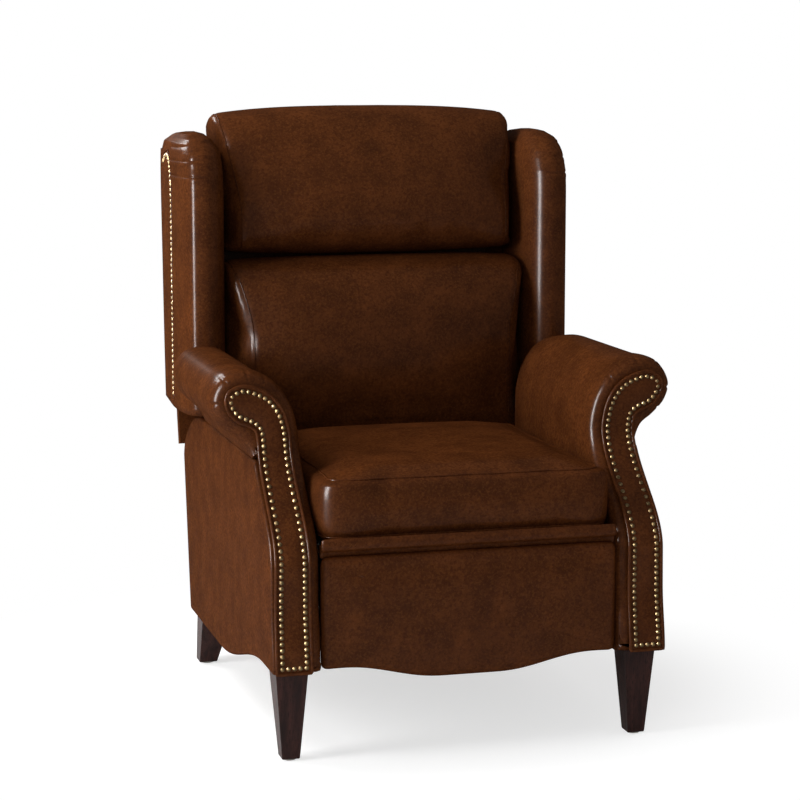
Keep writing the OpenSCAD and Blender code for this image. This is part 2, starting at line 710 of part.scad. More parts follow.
// Footrest: bracket, board and leather pad with a scalloped lower edge
board_in = panel_in + pad_t;
bracket_w = 22;
bracket_back = board_in + board_t;
module footrest_bracket_right() {
    tab_top = [yd(bracket_back) + bracket_w / 2, p_hang[1]];
    tab_low = [yd(bracket_back) + bracket_w / 2, p_ctrl_pin[1] - bracket_w];
    color(steel) {
        difference() {
            plate(layer5, steel_t) {
                bar(p_hang, tab_top, bracket_w);
                bar(p_hang, p_ctrl_pin, bracket_w);
                bar(p_ctrl_pin, tab_low, bracket_w);
                bar(tab_top, tab_low, bracket_w);
            }
            box([layer5 - over, yd(0), 0], [layer5 + steel_t + over, yd(bracket_back), panel_z]);
        }
        // Flange screwed to the board
        box([layer5 + steel_t - bracket_w, yd(bracket_back), tab_low[1]],
            [layer5 + steel_t, yd(bracket_back) + steel_t, tab_top[1]]);
        rivet(p_hang, layer1, layer5, layer1 + steel_t + run_fit, layer5 + run_fit);
        rivet(p_ctrl_pin, layer4, layer5, layer4 + steel_t + run_fit, layer5 + run_fit);
    }
}
module footrest_bracket_left() { flip() footrest_bracket_right(); }

panel_half = arm_in - 2 * soft_fit;
scallop_out = 0.84;
scallop_in = 0.2;
scallop_steps = 24;
function scallop_z(x) = panel_low_z
    - scallop * ease((scallop_out - abs(x) / panel_half) / (scallop_out - scallop_in));
function panel_outline(m) = concat([[panel_half - m, panel_z - m], [-panel_half + m, panel_z - m]],
    [for (i = [0 : scallop_steps]) let (x = mix(-panel_half + m, panel_half - m, i / scallop_steps))
        [x, scallop_z(x) + m]]);
board_margin = 8;
module footrest_board() {
    color(birch) across(yd(board_in), yd(board_in + board_t)) polygon(panel_outline(board_margin));
}
pad_edge = 5;
module footrest_pad() {
    color(leather) {
        across(yd(panel_in + pad_edge), yd(board_in)) polygon(panel_outline(0));
        across(yd(panel_in), yd(panel_in + pad_edge)) polygon(panel_outline(pad_edge));
    }
}

// Everything on the back's frame leans about the recline pivot
module leaned() { translate([0, pivot[0], pivot[1]]) rotate([-back_rake, 0, 0]) children(); }
frame_y0 = 63;
frame_t = 44;
post_z0 = 60;
post_z1 = 590;
// The posts stand wider above the side walls
step_z = 112;
post_low_half = bracket_x;
back_rail_h = 56;
back_rail_t = 60;
flange_h = 104;
flange_w = 34;
module back_frame() {
    color(birch) leaned() across(frame_y0, frame_y0 + frame_t) difference() {
        polygon([[-post_low_half, post_z0], [post_low_half, post_z0], [post_low_half, step_z],
            [wing_in, step_z], [wing_in, post_z1], [-wing_in, post_z1], [-wing_in, step_z],
            [-post_low_half, step_z]]);
        translate([-wing_in + post_t, step_z + back_rail_h])
            square([2 * wing_in - 2 * post_t, post_z1 - back_rail_t - step_z - back_rail_h]);
    }
}
// Screws that hold the back brackets' flanges to the frame's bottom rail
back_bolt_z = [78, 112, 146];
back_bolt_x = bracket_x + steel_t - flange_w / 2;
module back_bolts() {
    y1 = frame_y0 + frame_t;
    color(steel) leaned() pair() for (z = back_bolt_z) translate([back_bolt_x, 0, z]) rotate([-90, 0, 0]) {
        translate([0, 0, y1]) cylinder(h = steel_t, r = screw_r);
        translate([0, 0, y1 + steel_t]) cylinder(h = screw_head_t, r = screw_head_r);
    }
}
back_spring_n = 4;
module back_springs() {
    l = 2 * wing_in - post_t;
    gap = (post_z1 - back_rail_t - step_z - back_rail_h) / back_spring_n;
    color(steel) leaned() for (i = [0 : back_spring_n - 1])
        translate([-l / 2, frame_y0, step_z + back_rail_h + (i + 1 / 2) * gap]) rotate([90, 0, 0])
            linear_extrude(spring_wire) rotate(-90) zigzag(l, spring_waves);
}
inside_t = 6;
module inside_back() {
    color(leather_dark) leaned() box([-wing_in, frame_y0 - spring_wire - inside_t, step_z],
        [wing_in, frame_y0 - spring_wire, post_z1]);
}
// Padded top between the wings, rounded at its front edge
top_h = 30;
top_l = 118;
module back_top() {
    y0 = frame_y0 - spring_wire - inside_t;
    color(leather) leaned() side_slab(concat([[y0 + top_l, post_z1], [y0 + top_l, post_z1 + top_h / 2]],
        [for (i = [0 : 8]) [y0 + top_h * (4 / 3 - sin(11.25 * i)), post_z1 + top_h * cos(11.25 * i)]],
        [[y0 + top_h / 3, post_z1]]), -wing_in, wing_in);
}

// Outside back: a curved shell, narrower where it passes between the side walls
shell_shares = [[0.985, 1], [1, 0.9], [0.975, 0.62], [0.948, 0.33], [0.915, 0.17], [0.845, 0]];
shell_z0 = 412;
shell_z1 = 1004;
shell_d0 = 340;
function shell_point(s) = [yd(mix(chair_d - shell_d0, chair_d, s[0])), mix(shell_z0, shell_z1, s[1])];
function shell_curve() = curve([for (s = shell_shares) shell_point(s)], 4);
function shell_inner() = let (o = shell_curve(), n = len(o)) [for (i = [n - 1 : -1 : 0])
    let (a = o[max(0, i - 1)], b = o[min(n - 1, i + 1)]) o[i] + shell_t * left_of(unit(a - b))];
function shell_side() = concat(shell_curve(), shell_inner());
module outside_back() {
    color(leather) intersection() {
        side_slab(shell_side(), -back_w / 2, back_w / 2);
        across(yd(0), yd(chair_d)) polygon([[-body_out, 0], [body_out, 0], [body_out, wing_z],
            [back_w / 2, wing_z], [back_w / 2, wing_h], [-back_w / 2, wing_h], [-back_w / 2, wing_z],
            [-body_out, wing_z]]);
    }
}

// Wings: plan, side and front outlines cut one solid
wing_out = wing_w / 2;
wing_front_in = arm_end + 3 * over;
wing_plan_shares = [[0, 0.30], [0.02, 0.12], [0.2, 0.025], [0.5, 0], [0.8, 0.035], [0.96, 0.12],
    [1, 0.24], [0.985, 0.4], [0.9, 0.75], [0.83, 1]];
wing_side_shares = [[0, 0], [0, 0.75], [0.012, 0.85], [0.06, 0.925], [0.15, 0.975], [0.3, 0.998],
    [0.48, 1], [0.66, 0.985], [0.84, 0.955]];
wing_top_shares = [[1, 0], [1, 0.86], [0.985, 0.91], [0.92, 0.96], [0.75, 0.992], [0.5, 1], [0.25, 0.99],
    [0.06, 0.95], [0, 0.9], [0, 0]];
function wing_side() = concat(
    curve([for (s = wing_side_shares) [yd(mix(wing_front_in, chair_d, s[0])), mix(wing_z, wing_h, s[1])]], 3),
    [for (i = [len(shell_inner()) - 1 : -1 : 0]) shell_inner()[i]], [[yd(wing_front_in), shell_z0]]);
function wing_plan() = concat(curve([for (s = wing_plan_shares)
    [mix(wing_in, wing_out, s[0]), yd(mix(wing_front_in, chair_d, s[1]))]], 4), [[wing_in, yd(chair_d)]]);
function wing_top() = curve([for (s = wing_top_shares)
    [mix(wing_in, wing_out, s[0]), mix(wing_z, wing_h, s[1])]], 3);
module wing_right() {
    color(leather) intersection() {
        translate([0, 0, wing_z]) linear_extrude(wing_h - wing_z) polygon(wing_plan());
        side_slab(wing_side(), wing_in - over, wing_out + over);
        across(yd(0), yd(chair_d)) polygon(wing_top());
    }
}
module wing_left() { flip() wing_right(); }

// Welt and nails along the wing's outer edge
edge_front = 136;
edge_top = 34;
edge_shares = [[0, 0.03], [0, 0.8], [0.03, 0.89], [0.12, 0.96], [0.28, 0.99], [0.5, 0.985], [0.78, 0.955]];
function edge_line(m) = curve([for (s = edge_shares)
    [yd(mix(wing_front_in + edge_front + m, chair_d - shell_t, s[0])),
    mix(wing_z, wing_h - edge_top - m, s[1])]], 4);
function outer_x(y) = lookup(y, [for (p = wing_plan())
    if (p[0] > mix(wing_in, wing_out, outer_share) && p[1] > yd(wing_front_in + edge_front / 2))
        [p[1], p[0]]]);
wing_welt_t = 3;
outer_share = 0.6;
module wing_welts() {
    o = edge_line(0);
    n = edge_line(-welt_w);
    color(leather) pair() intersection() {
        side_slab(concat(o, [for (i = [len(n) - 1 : -1 : 0]) n[i]]), wing_in, wing_out + 2 * wing_welt_t);
        translate([0, 0, wing_z]) linear_extrude(wing_h - wing_z) difference() {
            translate([wing_welt_t, 0]) polygon(wing_plan());
            polygon(wing_plan());
        }
    }
}
module wing_nails() {
    p = spaced(edge_line(nail_in), nail_pitch);
    color(brass) pair() for (i = [1 : len(p) - 2]) {
        y = p[i][0];
        turn = atan((outer_x(y + nail_d / 2) - outer_x(y - nail_d / 2)) / nail_d);
        translate([outer_x(y), y, p[i][1]]) rotate([0, 0, -turn]) rotate([0, 90, 0])
            translate([0, 0, nail_seat]) nail_head();
    }
}

// Back cushions lie against the inside back. Their leather wraps over top and bottom between two
// side panels, whose outlines are shares of depth in front of the inside back and of height.
lumbar_low = 38;
lumbar_gap = 8;
head_gap = 12;
lumbar_crown = 38;
head_crown = 22;
top_crown = 14;
roll_back = 66;
pillow_edge = 9;
lumbar_shares = [[0, 0.04], [0.04, 0], [0.3, 0], [0.66, 0], [0.77, 0.08], [0.82, 0.17], [0.945, 0.31],
    [1, 0.45], [0.985, 0.62], [0.93, 0.75], [0.83, 0.865], [0.68, 0.945], [0.45, 0.99], [0.2, 0.994],
    [0.03, 0.98], [0, 0.95]];
head_shares = [[0, 0.04], [0.04, 0.006], [0.3, 0.004], [0.76, 0.004], [0.94, 0.05], [1, 0.16], [0.98, 0.32],
    [0.88, 0.5], [0.76, 0.68], [0.61, 0.84], [0.44, 0.945], [0.2, 0.995], [0, 1]];
// The head cushion rolls back over the frame's top
over_top_shares = [[0.35, 0.94], [0.75, 0.66], [0.95, 0.3], [1, 0]];
// Each slice of a cushion: its place across, and how far its outline draws in
slice_shares = [[0, 0], [0.25, 0], [0.5, 0], [0.7, 0], [0.84, 0], [0.93, 0.04], [0.97, 0.2], [0.99, 0.5],
    [1, 1]];
slices = concat([for (i = [len(slice_shares) - 1 : -1 : 1]) [-slice_shares[i][0], slice_shares[i][1]]],
    slice_shares);
function up_the_back(z) = (z - pivot_z) / cos(back_rake);
// A cushion between two side panels: the outline swells forwards and upwards to the middle
module pillow(side, y, z0, z1, t, half, front, top) {
    n = len(side);
    m = len(slices);
    // The ring starts half way round the side's outline
    ring = [for (i = [n - 1 : -1 : 0]) side[(i + round(n / 2)) % n]];
    pts = [for (s = slices, p = grown(ring, -pillow_edge * s[1])) [s[0] * half,
        y - (y - p[0]) * (1 + front / t * swell(s[0])),
        p[1] + top * swell(s[0]) * pow(max(0, p[1] - z0) / (z1 - z0), 4)]];
    faces = concat([[for (j = [0 : n - 1]) j]], [[for (j = [n - 1 : -1 : 0]) (m - 1) * n + j]],
        [for (i = [0 : m - 2], j = [0 : n - 1]) let (k = (j + 1) % n)
            each [[i * n + j, (i + 1) * n + j, (i + 1) * n + k], [i * n + j, (i + 1) * n + k, i * n + k]]]);
    color(leather) leaned() polyhedron(pts, faces);
}
module lumbar_cushion() {
    y = frame_y0 - spring_wire - inside_t - soft_fit;
    z1 = up_the_back(split_z) - soft_fit;
    side = curve([for (s = lumbar_shares) [y - lumbar_t * s[0], mix(lumbar_low, z1, s[1])]], 3);
    pillow(side, y, lumbar_low, z1, lumbar_t, wing_in - lumbar_gap, lumbar_crown, 0);
}
module head_cushion() {
    y = frame_y0 - spring_wire - inside_t - soft_fit;
    z0 = up_the_back(split_z) + soft_fit;
    z1 = up_the_back(head_h) - top_crown;
    step = post_z1 + top_h + soft_fit;
    over_top = [for (s = over_top_shares) [y + roll_back * s[0], mix(step, z1, s[1])]];
    side = curve(concat([for (s = head_shares) [y - head_t * s[0], mix(z0, z1, s[1])]], over_top), 3);
    pillow(concat(side, [[y, step]]), y, z0, z1, head_t, wing_in - head_gap, head_crown, top_crown);
}

// Back brackets turn on the base plates' studs and push the seat with their drive pins
bracket_bar = 30;
bracket_knee = 24;
// A point of the leaned back as seen from the chair
function lean(p) = pivot + [p[0] * cos(back_rake) + p[1] * sin(back_rake),
    p[1] * cos(back_rake) - p[0] * sin(back_rake)];
module back_bracket_right() {
    y1 = frame_y0 + frame_t;
    knee = lean([y1 - bracket_bar / 2 + steel_t, bracket_knee]);
    shoulder = lean([y1 - bracket_bar / 2 + steel_t, step_z - bracket_bar / 2 - over]);
    color(steel) {
        difference() {
            union() {
                plate(bracket_x, steel_t) {
                    bar(pivot, drive_pin, bracket_bar);
                    bar(pivot, knee, bracket_bar);
                    bar(knee, shoulder, bracket_bar);
                }
                pin(drive_pin, seat_half - over, bracket_x, drive_pin_r);
            }
            hole(pivot, bracket_x, 2 * pin_r + run_fit);
        }
        // Flange behind the frame
        leaned() difference() {
            box([bracket_x + steel_t - flange_w, y1, post_z0],
                [bracket_x + steel_t, y1 + steel_t, post_z0 + flange_h]);
            for (z = back_bolt_z) translate([back_bolt_x, y1 - over, z]) rotate([-90, 0, 0])
                cylinder(h = steel_t + 2 * over, r = screw_r + run_fit);
        }
    }
}
module back_bracket_left() { flip() back_bracket_right(); }

front_leg_left();
front_leg_right();
rear_leg_left();
rear_leg_right();
foot_glides();
corner_blocks();
arm_panel_left();
arm_panel_right();
arm_left();
arm_right();
arm_facing_left();
arm_facing_right();
arm_welt_left();
arm_welt_right();
arm_nails_left();
arm_nails_right();
side_wall_left();
side_wall_right();
cross_rail();
rear_rail();
base_plate_left();
base_plate_right();
base_bolts();
seat_frame();
seat_springs();
seat_deck();
seat_band();
seat_cushion();
seat_plate_left();
seat_plate_right();
seat_bolts();
slide_rollers();
torque_tube();
lower_link_left();
lower_link_right();
crossing_link_left();
crossing_link_right();
upper_link_left();
upper_link_right();
front_link_left();
front_link_right();
control_links();
footrest_bracket_left();
footrest_bracket_right();
footrest_board();
footrest_pad();
back_frame();
back_springs();
inside_back();
back_top();
outside_back();
wing_left();
wing_right();
wing_welts();
wing_nails();
lumbar_cushion();
head_cushion();
back_bracket_left();
back_bracket_right();
back_bolts();
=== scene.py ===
# %% [markdown]
# # A leather wingback recliner
# The chair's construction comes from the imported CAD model: rails, springs, plates and links.
# Here the soft parts get their leather forms, and every surface gets its finish.
# The CAD model is loaded as a fixed frame, so each new piece goes where the CAD piece is.

# %% Load the frame
import json
import math
import bpy
import numpy as np
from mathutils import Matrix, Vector
from mathutils.bvhtree import BVHTree


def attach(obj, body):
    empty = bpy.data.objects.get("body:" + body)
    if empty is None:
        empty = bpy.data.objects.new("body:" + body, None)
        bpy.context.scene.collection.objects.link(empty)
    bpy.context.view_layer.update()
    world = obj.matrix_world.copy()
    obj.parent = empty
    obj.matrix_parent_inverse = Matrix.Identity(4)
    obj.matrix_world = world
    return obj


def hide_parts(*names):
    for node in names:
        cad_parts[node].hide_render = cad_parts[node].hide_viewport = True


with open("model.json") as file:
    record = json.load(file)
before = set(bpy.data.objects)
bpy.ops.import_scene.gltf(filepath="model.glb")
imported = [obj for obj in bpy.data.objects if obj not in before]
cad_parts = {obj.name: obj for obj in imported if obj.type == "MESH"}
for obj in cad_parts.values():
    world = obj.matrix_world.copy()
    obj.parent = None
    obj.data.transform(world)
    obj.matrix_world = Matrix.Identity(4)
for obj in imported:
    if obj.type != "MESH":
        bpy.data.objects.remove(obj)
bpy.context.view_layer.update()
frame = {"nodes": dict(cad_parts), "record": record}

# %% [markdown]
# ## Camera
# The photograph was taken from a little to the left and just above the arms, with a long lens
# that keeps the legs nearly parallel. A camera is placed by its position and the point it looks at.

# %% Camera
def placed(name, data):
    """A new object in the scene."""
    obj = bpy.data.objects.new(name, data)
    bpy.context.scene.collection.objects.link(obj)
    return obj


def look_from(place, target, lens):
    """A camera at place that looks at target, with its long side 36 mm wide."""
    data = bpy.data.cameras.new("camera")
    data.lens, data.sensor_width = lens, 36.0
    cam = placed("camera", data)
    cam.location = place
    cam.rotation_mode = "QUATERNION"
    cam.rotation_quaternion = (Vector(target) - Vector(place)).to_track_quat("-Z", "Y")
    bpy.context.scene.camera = cam


look_from((-1.1630, -4.2745, 1.2026), (-0.0387, -0.1310, 0.5687), 107.37)
print("lens", round(bpy.context.scene.camera.data.lens, 1), "mm")

# %% [markdown]
# ## Surfaces from grids
# Each leather form is a surface P(u, v): an array of points, one row for each step along the form
# and one column for each step round it. Neighbouring points are joined by quads. The last column is
# joined to the first, and each end is closed by a cap.

# %% Grid helpers
def grid_quads(rows, cols, looped=False):
    """Index quads between rings of points; the last ring joins the first when looped."""
    i, j = np.meshgrid(np.arange(rows if looped else rows - 1), np.arange(cols), indexing="ij")
    up, k = (i + 1) % rows, (j + 1) % cols
    return np.stack([i * cols + j, i * cols + k, up * cols + k, up * cols + j], -1).reshape(-1, 4)


def new_piece(name, points, faces, material):
    """A smooth mesh object with its place in its mesh, faces turned outwards, and one material."""
    mesh = bpy.data.meshes.new(name)
    places = np.asarray(points, float).reshape(-1, 3).tolist()
    mesh.from_pydata(places, [], [list(map(int, f)) for f in faces])
    mesh.validate()
    obj = placed(name, mesh)
    face_outwards(obj)
    mesh.materials.append(material)
    mesh.polygons.foreach_set("use_smooth", np.ones(len(mesh.polygons), bool))
    return obj


def face_outwards(obj):
    """Turns a closed mesh's faces outwards: the sum of a . (b x c) over its triangles must be positive."""
    mesh = obj.data
    mesh.calc_loop_triangles()
    p = np.empty(len(mesh.vertices) * 3)
    mesh.vertices.foreach_get("co", p)
    t = np.empty(len(mesh.loop_triangles) * 3, int)
    mesh.loop_triangles.foreach_get("vertices", t)
    a, b, c = p.reshape(-1, 3)[t.reshape(-1, 3)].transpose(1, 0, 2)
    if np.einsum("ij,ij->i", a, np.cross(b, c)).sum() < 0:
        mesh.flip_normals()


def capped_grid(points):
    """Faces of a tube of rings, with an end face on its first and last ring."""
    rows, cols = points.shape[:2]
    faces = [tuple(f) for f in grid_quads(rows, cols)]
    first, last = tuple(range(cols)), tuple((rows - 1) * cols + j for j in range(cols))
    return faces + [first[::-1], last]


def even(path, count, closed=False):
    """count points spaced evenly by length along a path."""
    p = np.asarray(path, float)
    if closed:
        p = np.vstack([p, p[:1]])
    s = np.concatenate([[0], np.cumsum(np.linalg.norm(np.diff(p, axis=0), axis=1))])
    t = np.linspace(0, s[-1], count + 1)[:-1] if closed else np.linspace(0, s[-1], count)
    return np.stack([np.interp(t, s, p[:, k]) for k in range(p.shape[1])], -1)


def flowing(path, steps=8, closed=False):
    """A Catmull-Rom curve through the points of a path."""
    p = np.asarray(path, float)
    n = len(p)
    at = (lambda i: p[i % n]) if closed else (lambda i: p[min(max(i, 0), n - 1)])
    out = []
    t = np.linspace(0, 1, steps, endpoint=False)[:, None]
    for i in range(n if closed else n - 1):
        a, b, c, d = at(i - 1), at(i), at(i + 1), at(i + 2)
        out.append(0.5 * (2 * b + (c - a) * t + (2 * a - 5 * b + 4 * c - d) * t ** 2
                          + (3 * b - a - 3 * c + d) * t ** 3))
    if not closed:
        out.append(p[-1:])
    return np.vstack(out)


def outward(p):
    """Unit normals that point out of a closed anticlockwise outline in a plane."""
    d = np.roll(p, -1, 0) - np.roll(p, 1, 0)
    d /= np.linalg.norm(d, axis=1)[:, None] + 1e-12
    return np.stack([d[:, 1], -d[:, 0]], -1)


def ease(t):
    """A smooth step: half a cosine wave from 0 to 1."""
    return (1 - np.cos(np.pi * np.clip(t, 0, 1))) / 2


def mix(a, b, t):
    """The place at share t of the way from a to b."""
    return a + (b - a) * t


def signed_area(p):
    """Area inside a closed outline, positive when it runs anticlockwise."""
    return 0.5 * np.sum(p[:, 0] * np.roll(p[:, 1], -1) - np.roll(p[:, 0], -1) * p[:, 1])


def mirrored(points):
    """The same form on the other side of the chair."""
    return points * np.array([-1.0, 1.0, 1.0])


SIDES = (("right", lambda p: p), ("left", mirrored))


# %% [markdown]
# ## Piping
# A seam cord is a thin tube carried along a path. At each point two directions square to the path
# span the ring of the tube. They are carried along from ring to ring, so the tube doesn't twist.

# %% Piping
def piping(name, path, radius, material, closed=False, sides=8):
    """A tube round a path: P = path + radius (cos a N + sin a B), with N and B carried along the path."""
    p = np.asarray(path, float)
    t = (np.roll(p, -1, 0) - np.roll(p, 1, 0)) if closed else np.gradient(p, axis=0)
    t /= np.linalg.norm(t, axis=1)[:, None]
    n = np.empty_like(p)
    start = np.array([1.0, 0, 0]) if abs(t[0][0]) < 0.8 else np.array([0, 0, 1.0])
    for i in range(len(p)):
        start = start - t[i] * start.dot(t[i])
        start /= np.linalg.norm(start)
        n[i] = start
    b = np.cross(t, n)
    a = np.linspace(0, 2 * np.pi, sides, endpoint=False)
    cos, sin = np.cos(a)[None, :, None], np.sin(a)[None, :, None]
    grid = p[:, None] + radius * (cos * n[:, None] + sin * b[:, None])
    faces = grid_quads(len(grid), sides, looped=True) if closed else capped_grid(grid)
    return new_piece(name, grid, faces, material)


# %% [markdown]
# ## Shared node groups
# Leather, wood and metal each need variation over their surface. A node group is built once, with
# named inputs, and each material places it with its own values. It puts out only colours and values.

# %% Node group helpers
def group(name, inputs, outputs):
    """An empty shader node group with float or colour sockets: (name, kind, default)."""
    g = bpy.data.node_groups.new(name, "ShaderNodeTree")
    for label, kind, value in inputs:
        s = g.interface.new_socket(label, in_out="INPUT", socket_type=kind)
        s.default_value = value
    for label, kind in outputs:
        g.interface.new_socket(label, in_out="OUTPUT", socket_type=kind)
    return g, g.nodes.new("NodeGroupInput"), g.nodes.new("NodeGroupOutput")


def add(tree, kind, links=(), **values):
    """A node with its inputs set by name or number, and links from other sockets."""
    node = tree.nodes.new(kind)
    for key, value in values.items():
        if hasattr(node, key):
            setattr(node, key, value)
    for target, source in links:
        if isinstance(source, bpy.types.NodeSocket):
            tree.links.new(source, node.inputs[target])
        else:
            node.inputs[target].default_value = source
    return node


def ramp(tree, source, stops):
    """A colour ramp with (place, grey or colour) stops."""
    node = add(tree, "ShaderNodeValToRGB", [("Fac", source)])
    e = node.color_ramp.elements
    while len(e) < len(stops):
        e.new(0.5)
    for item, (place, value) in zip(e, stops):
        item.position = place
        item.color = (*((value,) * 3 if np.isscalar(value) else value), 1)
    return node.outputs["Color"]


def blend_colours(tree, fac, a, b):
    """The colour at share fac of the way from a to b."""
    return add(tree, "ShaderNodeMix", [(0, fac), (6, a), (7, b)], data_type="RGBA").outputs[2]


def reckon(tree, how, a, b):
    """One step of arithmetic on two values, such as MULTIPLY, ADD or MAXIMUM."""
    return add(tree, "ShaderNodeMath", [(0, a), (1, b)], operation=how).outputs[0]


def noise(tree, at, scale, detail, more=()):
    """A noise texture's value at a place, with its scale and detail."""
    links = [("Vector", at), ("Scale", scale), ("Detail", detail), *more]
    return add(tree, "ShaderNodeTexNoise", links).outputs["Fac"]


F, C, V = "NodeSocketFloat", "NodeSocketColor", "NodeSocketVector"

# %% [markdown]
# ## Leather grain
# The leather is mottled: wide soft clouds where the dye took unevenly, smaller dark flecks, light
# specks, and fine pebbles pressed into the surface. The clouds are noise, the flecks and specks finer
# noise cut by a ramp, and the pebbles are the borders of small cells. Pebbles and a slow crease noise
# make the height for a bump.

# %% Leather groups
def leather_tone():
    """Leather: clouds from dark to tone, dark flecks, small light specks, and a pebbled height."""
    g, i, o = group("leather_tone", [
        ("Tone", C, (0.1, 0.03, 0.01, 1)), ("Dark", C, (0.03, 0.01, 0.004, 1)),
        ("Light", C, (0.2, 0.06, 0.02, 1)), ("Cloud size", F, 12.0), ("Fleck", F, 0.5)],
        [("Color", C), ("Roughness", F), ("Height", F)])
    at = add(g, "ShaderNodeTexCoord").outputs["Object"]
    clouds = noise(g, at, i.outputs["Cloud size"], 5.0, [("Roughness", 0.62)])
    flecks = noise(g, at, 150.0, 5.0, [("Roughness", 0.74)])
    specks = noise(g, at, 230.0, 3.0, [("Roughness", 0.7)])
    crease = noise(g, at, 26.0, 3.0, [("Distortion", 0.8)])
    base = blend_colours(g, ramp(g, clouds, [(0.24, 0.0), (0.68, 1.0)]), i.outputs["Dark"], i.outputs["Tone"])
    spots = reckon(g, "MULTIPLY", ramp(g, flecks, [(0.38, 1.0), (0.56, 0.0)]), i.outputs["Fleck"])
    flecked = blend_colours(g, spots, base, i.outputs["Dark"])
    sparks = ramp(g, specks, [(0.48, 0.0), (0.74, 0.42)])
    cells = add(g, "ShaderNodeTexVoronoi", [("Vector", at), ("Scale", 520.0)], feature="DISTANCE_TO_EDGE")
    pebble = ramp(g, cells.outputs["Distance"], [(0.0, 0.0), (0.12, 1.0)])
    rough = add(g, "ShaderNodeMapRange", [
        ("Value", flecks), ("From Min", 0.3), ("From Max", 0.7), ("To Min", 0.42), ("To Max", 0.30)])
    g.links.new(blend_colours(g, sparks, flecked, i.outputs["Light"]), o.inputs["Color"])
    g.links.new(rough.outputs["Result"], o.inputs["Roughness"])
    g.links.new(reckon(g, "ADD", reckon(g, "MULTIPLY", pebble, 0.35), crease), o.inputs["Height"])
    return g


def grain():
    """Wood: growth bands stretched along one axis, with fine pores."""
    g, i, o = group("grain", [
        ("Light", C, (0.5, 0.3, 0.2, 1)), ("Dark", C, (0.1, 0.05, 0.03, 1)), ("Along", V, (1.0, 1.0, 0.06)),
        ("Bands", F, 60.0)], [("Color", C), ("Height", F)])
    at = add(g, "ShaderNodeTexCoord").outputs["Object"]
    stretch = add(g, "ShaderNodeVectorMath", [(0, at), (1, i.outputs["Along"])], operation="MULTIPLY")
    bands = noise(g, stretch.outputs[0], i.outputs["Bands"], 5.0, [("Distortion", 0.6)])
    pores = noise(g, stretch.outputs[0], 900.0, 2.0)
    open_grain = ramp(g, bands, [(0.35, 0.0), (0.65, 1.0)])
    both = reckon(g, "MULTIPLY", open_grain, ramp(g, pores, [(0.35, 0.0), (0.5, 1.0)]))
    g.links.new(blend_colours(g, both, i.outputs["Dark"], i.outputs["Light"]), o.inputs["Color"])
    g.links.new(both, o.inputs["Height"])
    return g


def worn():
    """Metal: a tone that darkens in soft patches, and a roughness that follows it."""
    g, i, o = group("worn", [
        ("Tone", C, (0.5, 0.5, 0.5, 1)), ("Dark", C, (0.2, 0.2, 0.2, 1)), ("Patch size", F, 90.0),
        ("Smooth", F, 0.3), ("Rough", F, 0.5)], [("Color", C), ("Roughness", F), ("Height", F)])
    at = add(g, "ShaderNodeTexCoord").outputs["Object"]
    mask = ramp(g, noise(g, at, i.outputs["Patch size"], 4.0), [(0.38, 0.0), (0.6, 1.0)])
    r = add(g, "ShaderNodeMapRange", [
        ("Value", mask), ("To Min", i.outputs["Rough"]), ("To Max", i.outputs["Smooth"])])
    g.links.new(blend_colours(g, mask, i.outputs["Dark"], i.outputs["Tone"]), o.inputs["Color"])
    g.links.new(r.outputs["Result"], o.inputs["Roughness"])
    g.links.new(noise(g, at, 1400.0, 1.0), o.inputs["Height"])
    return g


LEATHER, GRAIN, WORN = leather_tone(), grain(), worn()

# %% [markdown]
# ## Finishes
# Each material keeps its own Principled shader, and takes colour, roughness and bump from a group.
# The leather's gloss is a thin coat, since a plain gloss turns grey where it is seen at a slant.

# %% Material makers
def finish(name, effect, values, bump=0.0, depth=0.001, **shader):
    """A material: Principled shader, with a group's outputs on colour, roughness and a bump."""
    m = bpy.data.materials.new(name)
    m.use_nodes = True
    t = m.node_tree
    p = t.nodes["Principled BSDF"]
    for key, value in shader.items():
        p.inputs[key.replace("_", " ")].default_value = value
    g = t.nodes.new("ShaderNodeGroup")
    g.node_tree = effect
    for key, value in values.items():
        g.inputs[key].default_value = value
    t.links.new(g.outputs["Color"], p.inputs["Base Color"])
    if "Roughness" in g.outputs:
        t.links.new(g.outputs["Roughness"], p.inputs["Roughness"])
    if bump:
        b = add(t, "ShaderNodeBump", [
            ("Strength", bump), ("Distance", depth), ("Height", g.outputs["Height"])])
        t.links.new(b.outputs["Normal"], p.inputs["Normal"])
    return m


shine = {"bump": 0.26, "depth": 0.0009, "Specular_IOR_Level": 0.0,
         "Coat_Weight": 0.024, "Coat_IOR": 2.6, "Coat_Roughness": 0.25}
hide = finish("leather", LEATHER, {
    "Tone": (0.098, 0.0285, 0.0078, 1), "Dark": (0.040, 0.0114, 0.0036, 1), "Light": (0.165, 0.054, 0.0140, 1),
    "Cloud size": 17.0, "Fleck": 0.7}, **shine)
hide_dark = finish("leather_dark", LEATHER, {
    "Tone": (0.074, 0.0212, 0.0060, 1), "Dark": (0.030, 0.0085, 0.0028, 1), "Light": (0.130, 0.041, 0.0110, 1),
    "Cloud size": 22.0, "Fleck": 0.7}, **shine)
walnut = finish("dark_wood", GRAIN, {
    "Light": (0.050, 0.0165, 0.0125, 1), "Dark": (0.014, 0.0050, 0.0042, 1), "Bands": 90.0},
    bump=0.25, depth=0.0005, Roughness=0.42, Specular_IOR_Level=0.12, Coat_Weight=0.06, Coat_Roughness=0.2)
birch = finish("frame_wood", GRAIN, {
    "Light": (0.42, 0.285, 0.155, 1), "Dark": (0.26, 0.16, 0.078, 1), "Along": (0.06, 1.0, 1.0),
    "Bands": 40.0}, bump=0.15, Roughness=0.6)
black_steel = finish("black_steel", WORN, {
    "Tone": (0.03, 0.03, 0.032, 1), "Dark": (0.016, 0.016, 0.017, 1), "Smooth": 0.32, "Rough": 0.48},
    bump=0.05, Metallic=0.4)
